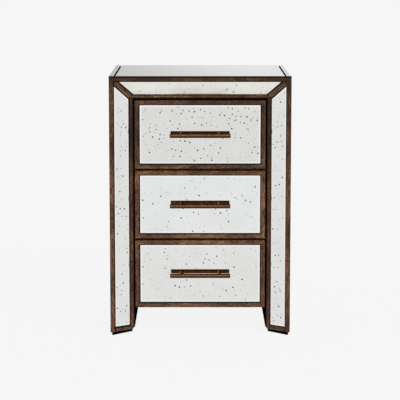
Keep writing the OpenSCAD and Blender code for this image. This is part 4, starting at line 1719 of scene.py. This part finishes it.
@dataclass
class Studio:
    """Pale studio: floor, sky, one lamp and the camera of the photograph.

    The floor lies a hair under the feet, so that the two never share a plane.
    """

    backdrop: str = "#f6f6f6"
    shade: float = 0.035
    floor_half: float = 9.0
    floor_gap: float = 0.0003
    sky_low: float = 1.0
    sky_high: float = 0.45
    overhead_from: tuple[float, float] = (0.12, 0.95)
    behind_from: tuple[float, float] = (0.5, 0.9)
    left_until: tuple[float, float] = (-0.075, 0.045)
    rear_left: float = 0.70
    fill: float = 0.75
    key_power: float = 1.6
    key_aim: tuple[float, float, float] = (-0.5, 0.75, -0.7)
    key_spread: float = 35.0
    camera_at: tuple[float, float, float] = (-0.0068, -4.3887, 0.9699)
    camera_pitch: float = 8.471
    camera_turn: float = -0.088
    lens: float = 153.56
    sensor: float = 36.0
    sight: float = 60.0

    def camera(self) -> None:
        """The camera, placed where the photograph was taken from."""
        data = bpy.data.cameras.new("camera")
        data.lens, data.sensor_width = self.lens, self.sensor
        data.clip_end = self.sight
        made = bpy.data.objects.new("camera", data)
        made.location = self.camera_at
        made.rotation_euler = (math.radians(90 - self.camera_pitch), 0, math.radians(self.camera_turn))
        bpy.context.scene.collection.objects.link(made)
        bpy.context.scene.camera = made

    def lamp(self, name: str, power: float, aim: tuple[float, float, float], spread: float) -> None:
        """A far, soft lamp.

        Args:
            name: Its name.
            power: Its strength.
            aim: Direction from the lamp to the object.
            spread: Angle that it fills in the sky, in degrees.
        """
        data = bpy.data.lights.new(name, "SUN")
        data.energy, data.angle = power, math.radians(spread)
        made = bpy.data.objects.new(name, data)
        from_z = math.atan2(math.hypot(aim[0], aim[1]), -aim[2])
        made.rotation_euler = (from_z, 0, -math.atan2(aim[0], aim[1]))
        made.visible_glossy = False
        bpy.context.scene.collection.objects.link(made)

    def sky(self) -> None:
        """White for the camera, and a plain fill for all light but gloss.

        Gloss sees white at eye level and grey overhead. Behind the cabinet,
        on the left, it sees a dimmer part, which the top mirror shows as the
        darker left side that it has in the photo.
        """
        world = bpy.data.worlds.new("studio")
        bpy.context.scene.world = world
        nodes = Nodes(world)
        aim = nodes.add("SeparateXYZ", {0: nodes.add("TexCoord").outputs["Generated"]})
        high, deep, across = self.overhead_from, self.behind_from, self.left_until
        overhead = nodes.add("MapRange", {0: aim.outputs[2], 1: high[0], 2: high[1], 3: self.sky_low,
                                          4: self.sky_high}, **SMOOTH).outputs[0]
        behind = nodes.add("MapRange", {0: aim.outputs[1], 1: deep[0], 2: deep[1]}, **SMOOTH).outputs[0]
        left = nodes.add("MapRange", {0: aim.outputs[0], 1: across[0], 2: across[1], 3: self.rear_left,
                                      4: 1.0}, **SMOOTH).outputs[0]
        dimmed = nodes.add("Mix", {0: behind, 2: 1.0, 3: left}, data_type="FLOAT").outputs[0]
        gloss = nodes.add("Math", {0: overhead, 1: dimmed}, operation="MULTIPLY").outputs[0]
        path = nodes.add("LightPath")
        seen = nodes.add("Mix", {0: path.outputs["Is Glossy Ray"], 2: self.fill, 3: gloss},
                         data_type="FLOAT")
        level = nodes.add("Mix", {0: path.outputs["Is Camera Ray"], 2: seen.outputs[0], 3: 1.0},
                          data_type="FLOAT")
        light = nodes.add("Background", {0: colour(self.backdrop), 1: level.outputs[0]})
        nodes.add("OutputWorld", {0: light.outputs[0]})

    def floor(self) -> None:
        """A wide pale floor: mostly its own colour, with a share that takes light and so keeps the shadow."""
        half = self.floor_half
        corner = np.array([[-1, -1, 0], [1, -1, 0], [1, 1, 0], [-1, 1, 0]]) * half - self.floor_gap * Z
        mesh = bpy.data.meshes.new("studio_floor")
        mesh.from_pydata(corner.tolist(), [], [[0, 1, 2, 3]])
        made = bpy.data.objects.new("studio_floor", mesh)
        bpy.context.scene.collection.objects.link(made)
        paper = bpy.data.materials.new("seamless_paper")
        nodes = Nodes(paper)
        path = nodes.add("LightPath")
        near = nodes.add("Math", {0: path.outputs["Is Camera Ray"], 1: path.outputs["Is Glossy Ray"]},
                         operation="MAXIMUM").outputs[0]
        direct = nodes.add("Math", {0: near, 1: 1 - self.shade}, operation="MULTIPLY").outputs[0]
        matt = nodes.add("BsdfDiffuse", {0: colour(self.backdrop)})
        even = nodes.add("Emission", {0: colour(self.backdrop), 1: 1.0})
        both = nodes.add("MixShader", {0: direct, 1: matt.outputs[0], 2: even.outputs[0]})
        nodes.add("OutputMaterial", {0: both.outputs[0]})
        mesh.materials.append(paper)

    def build(self) -> None:
        """Makes the studio."""
        bpy.context.scene.view_settings.view_transform = "Standard"
        self.camera()
        self.sky()
        self.floor()
        self.lamp("key_lamp", self.key_power, self.key_aim, self.key_spread)


def main() -> None:
    """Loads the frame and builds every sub-assembly in order."""
    logging.basicConfig(level=logging.INFO, format="%(name)s: %(message)s")
    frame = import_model()
    sizes, finishes = Sizes(), Finishes()
    Studio().build()
    SplayedFront(sizes, finishes).build()
    SidesAndTop(sizes, finishes).build()
    for layer in Layer:
        DrawerFront(sizes, finishes, layer).build()
    Carcass(finishes).build(frame["nodes"])


if __name__ == "__main__":
    main()
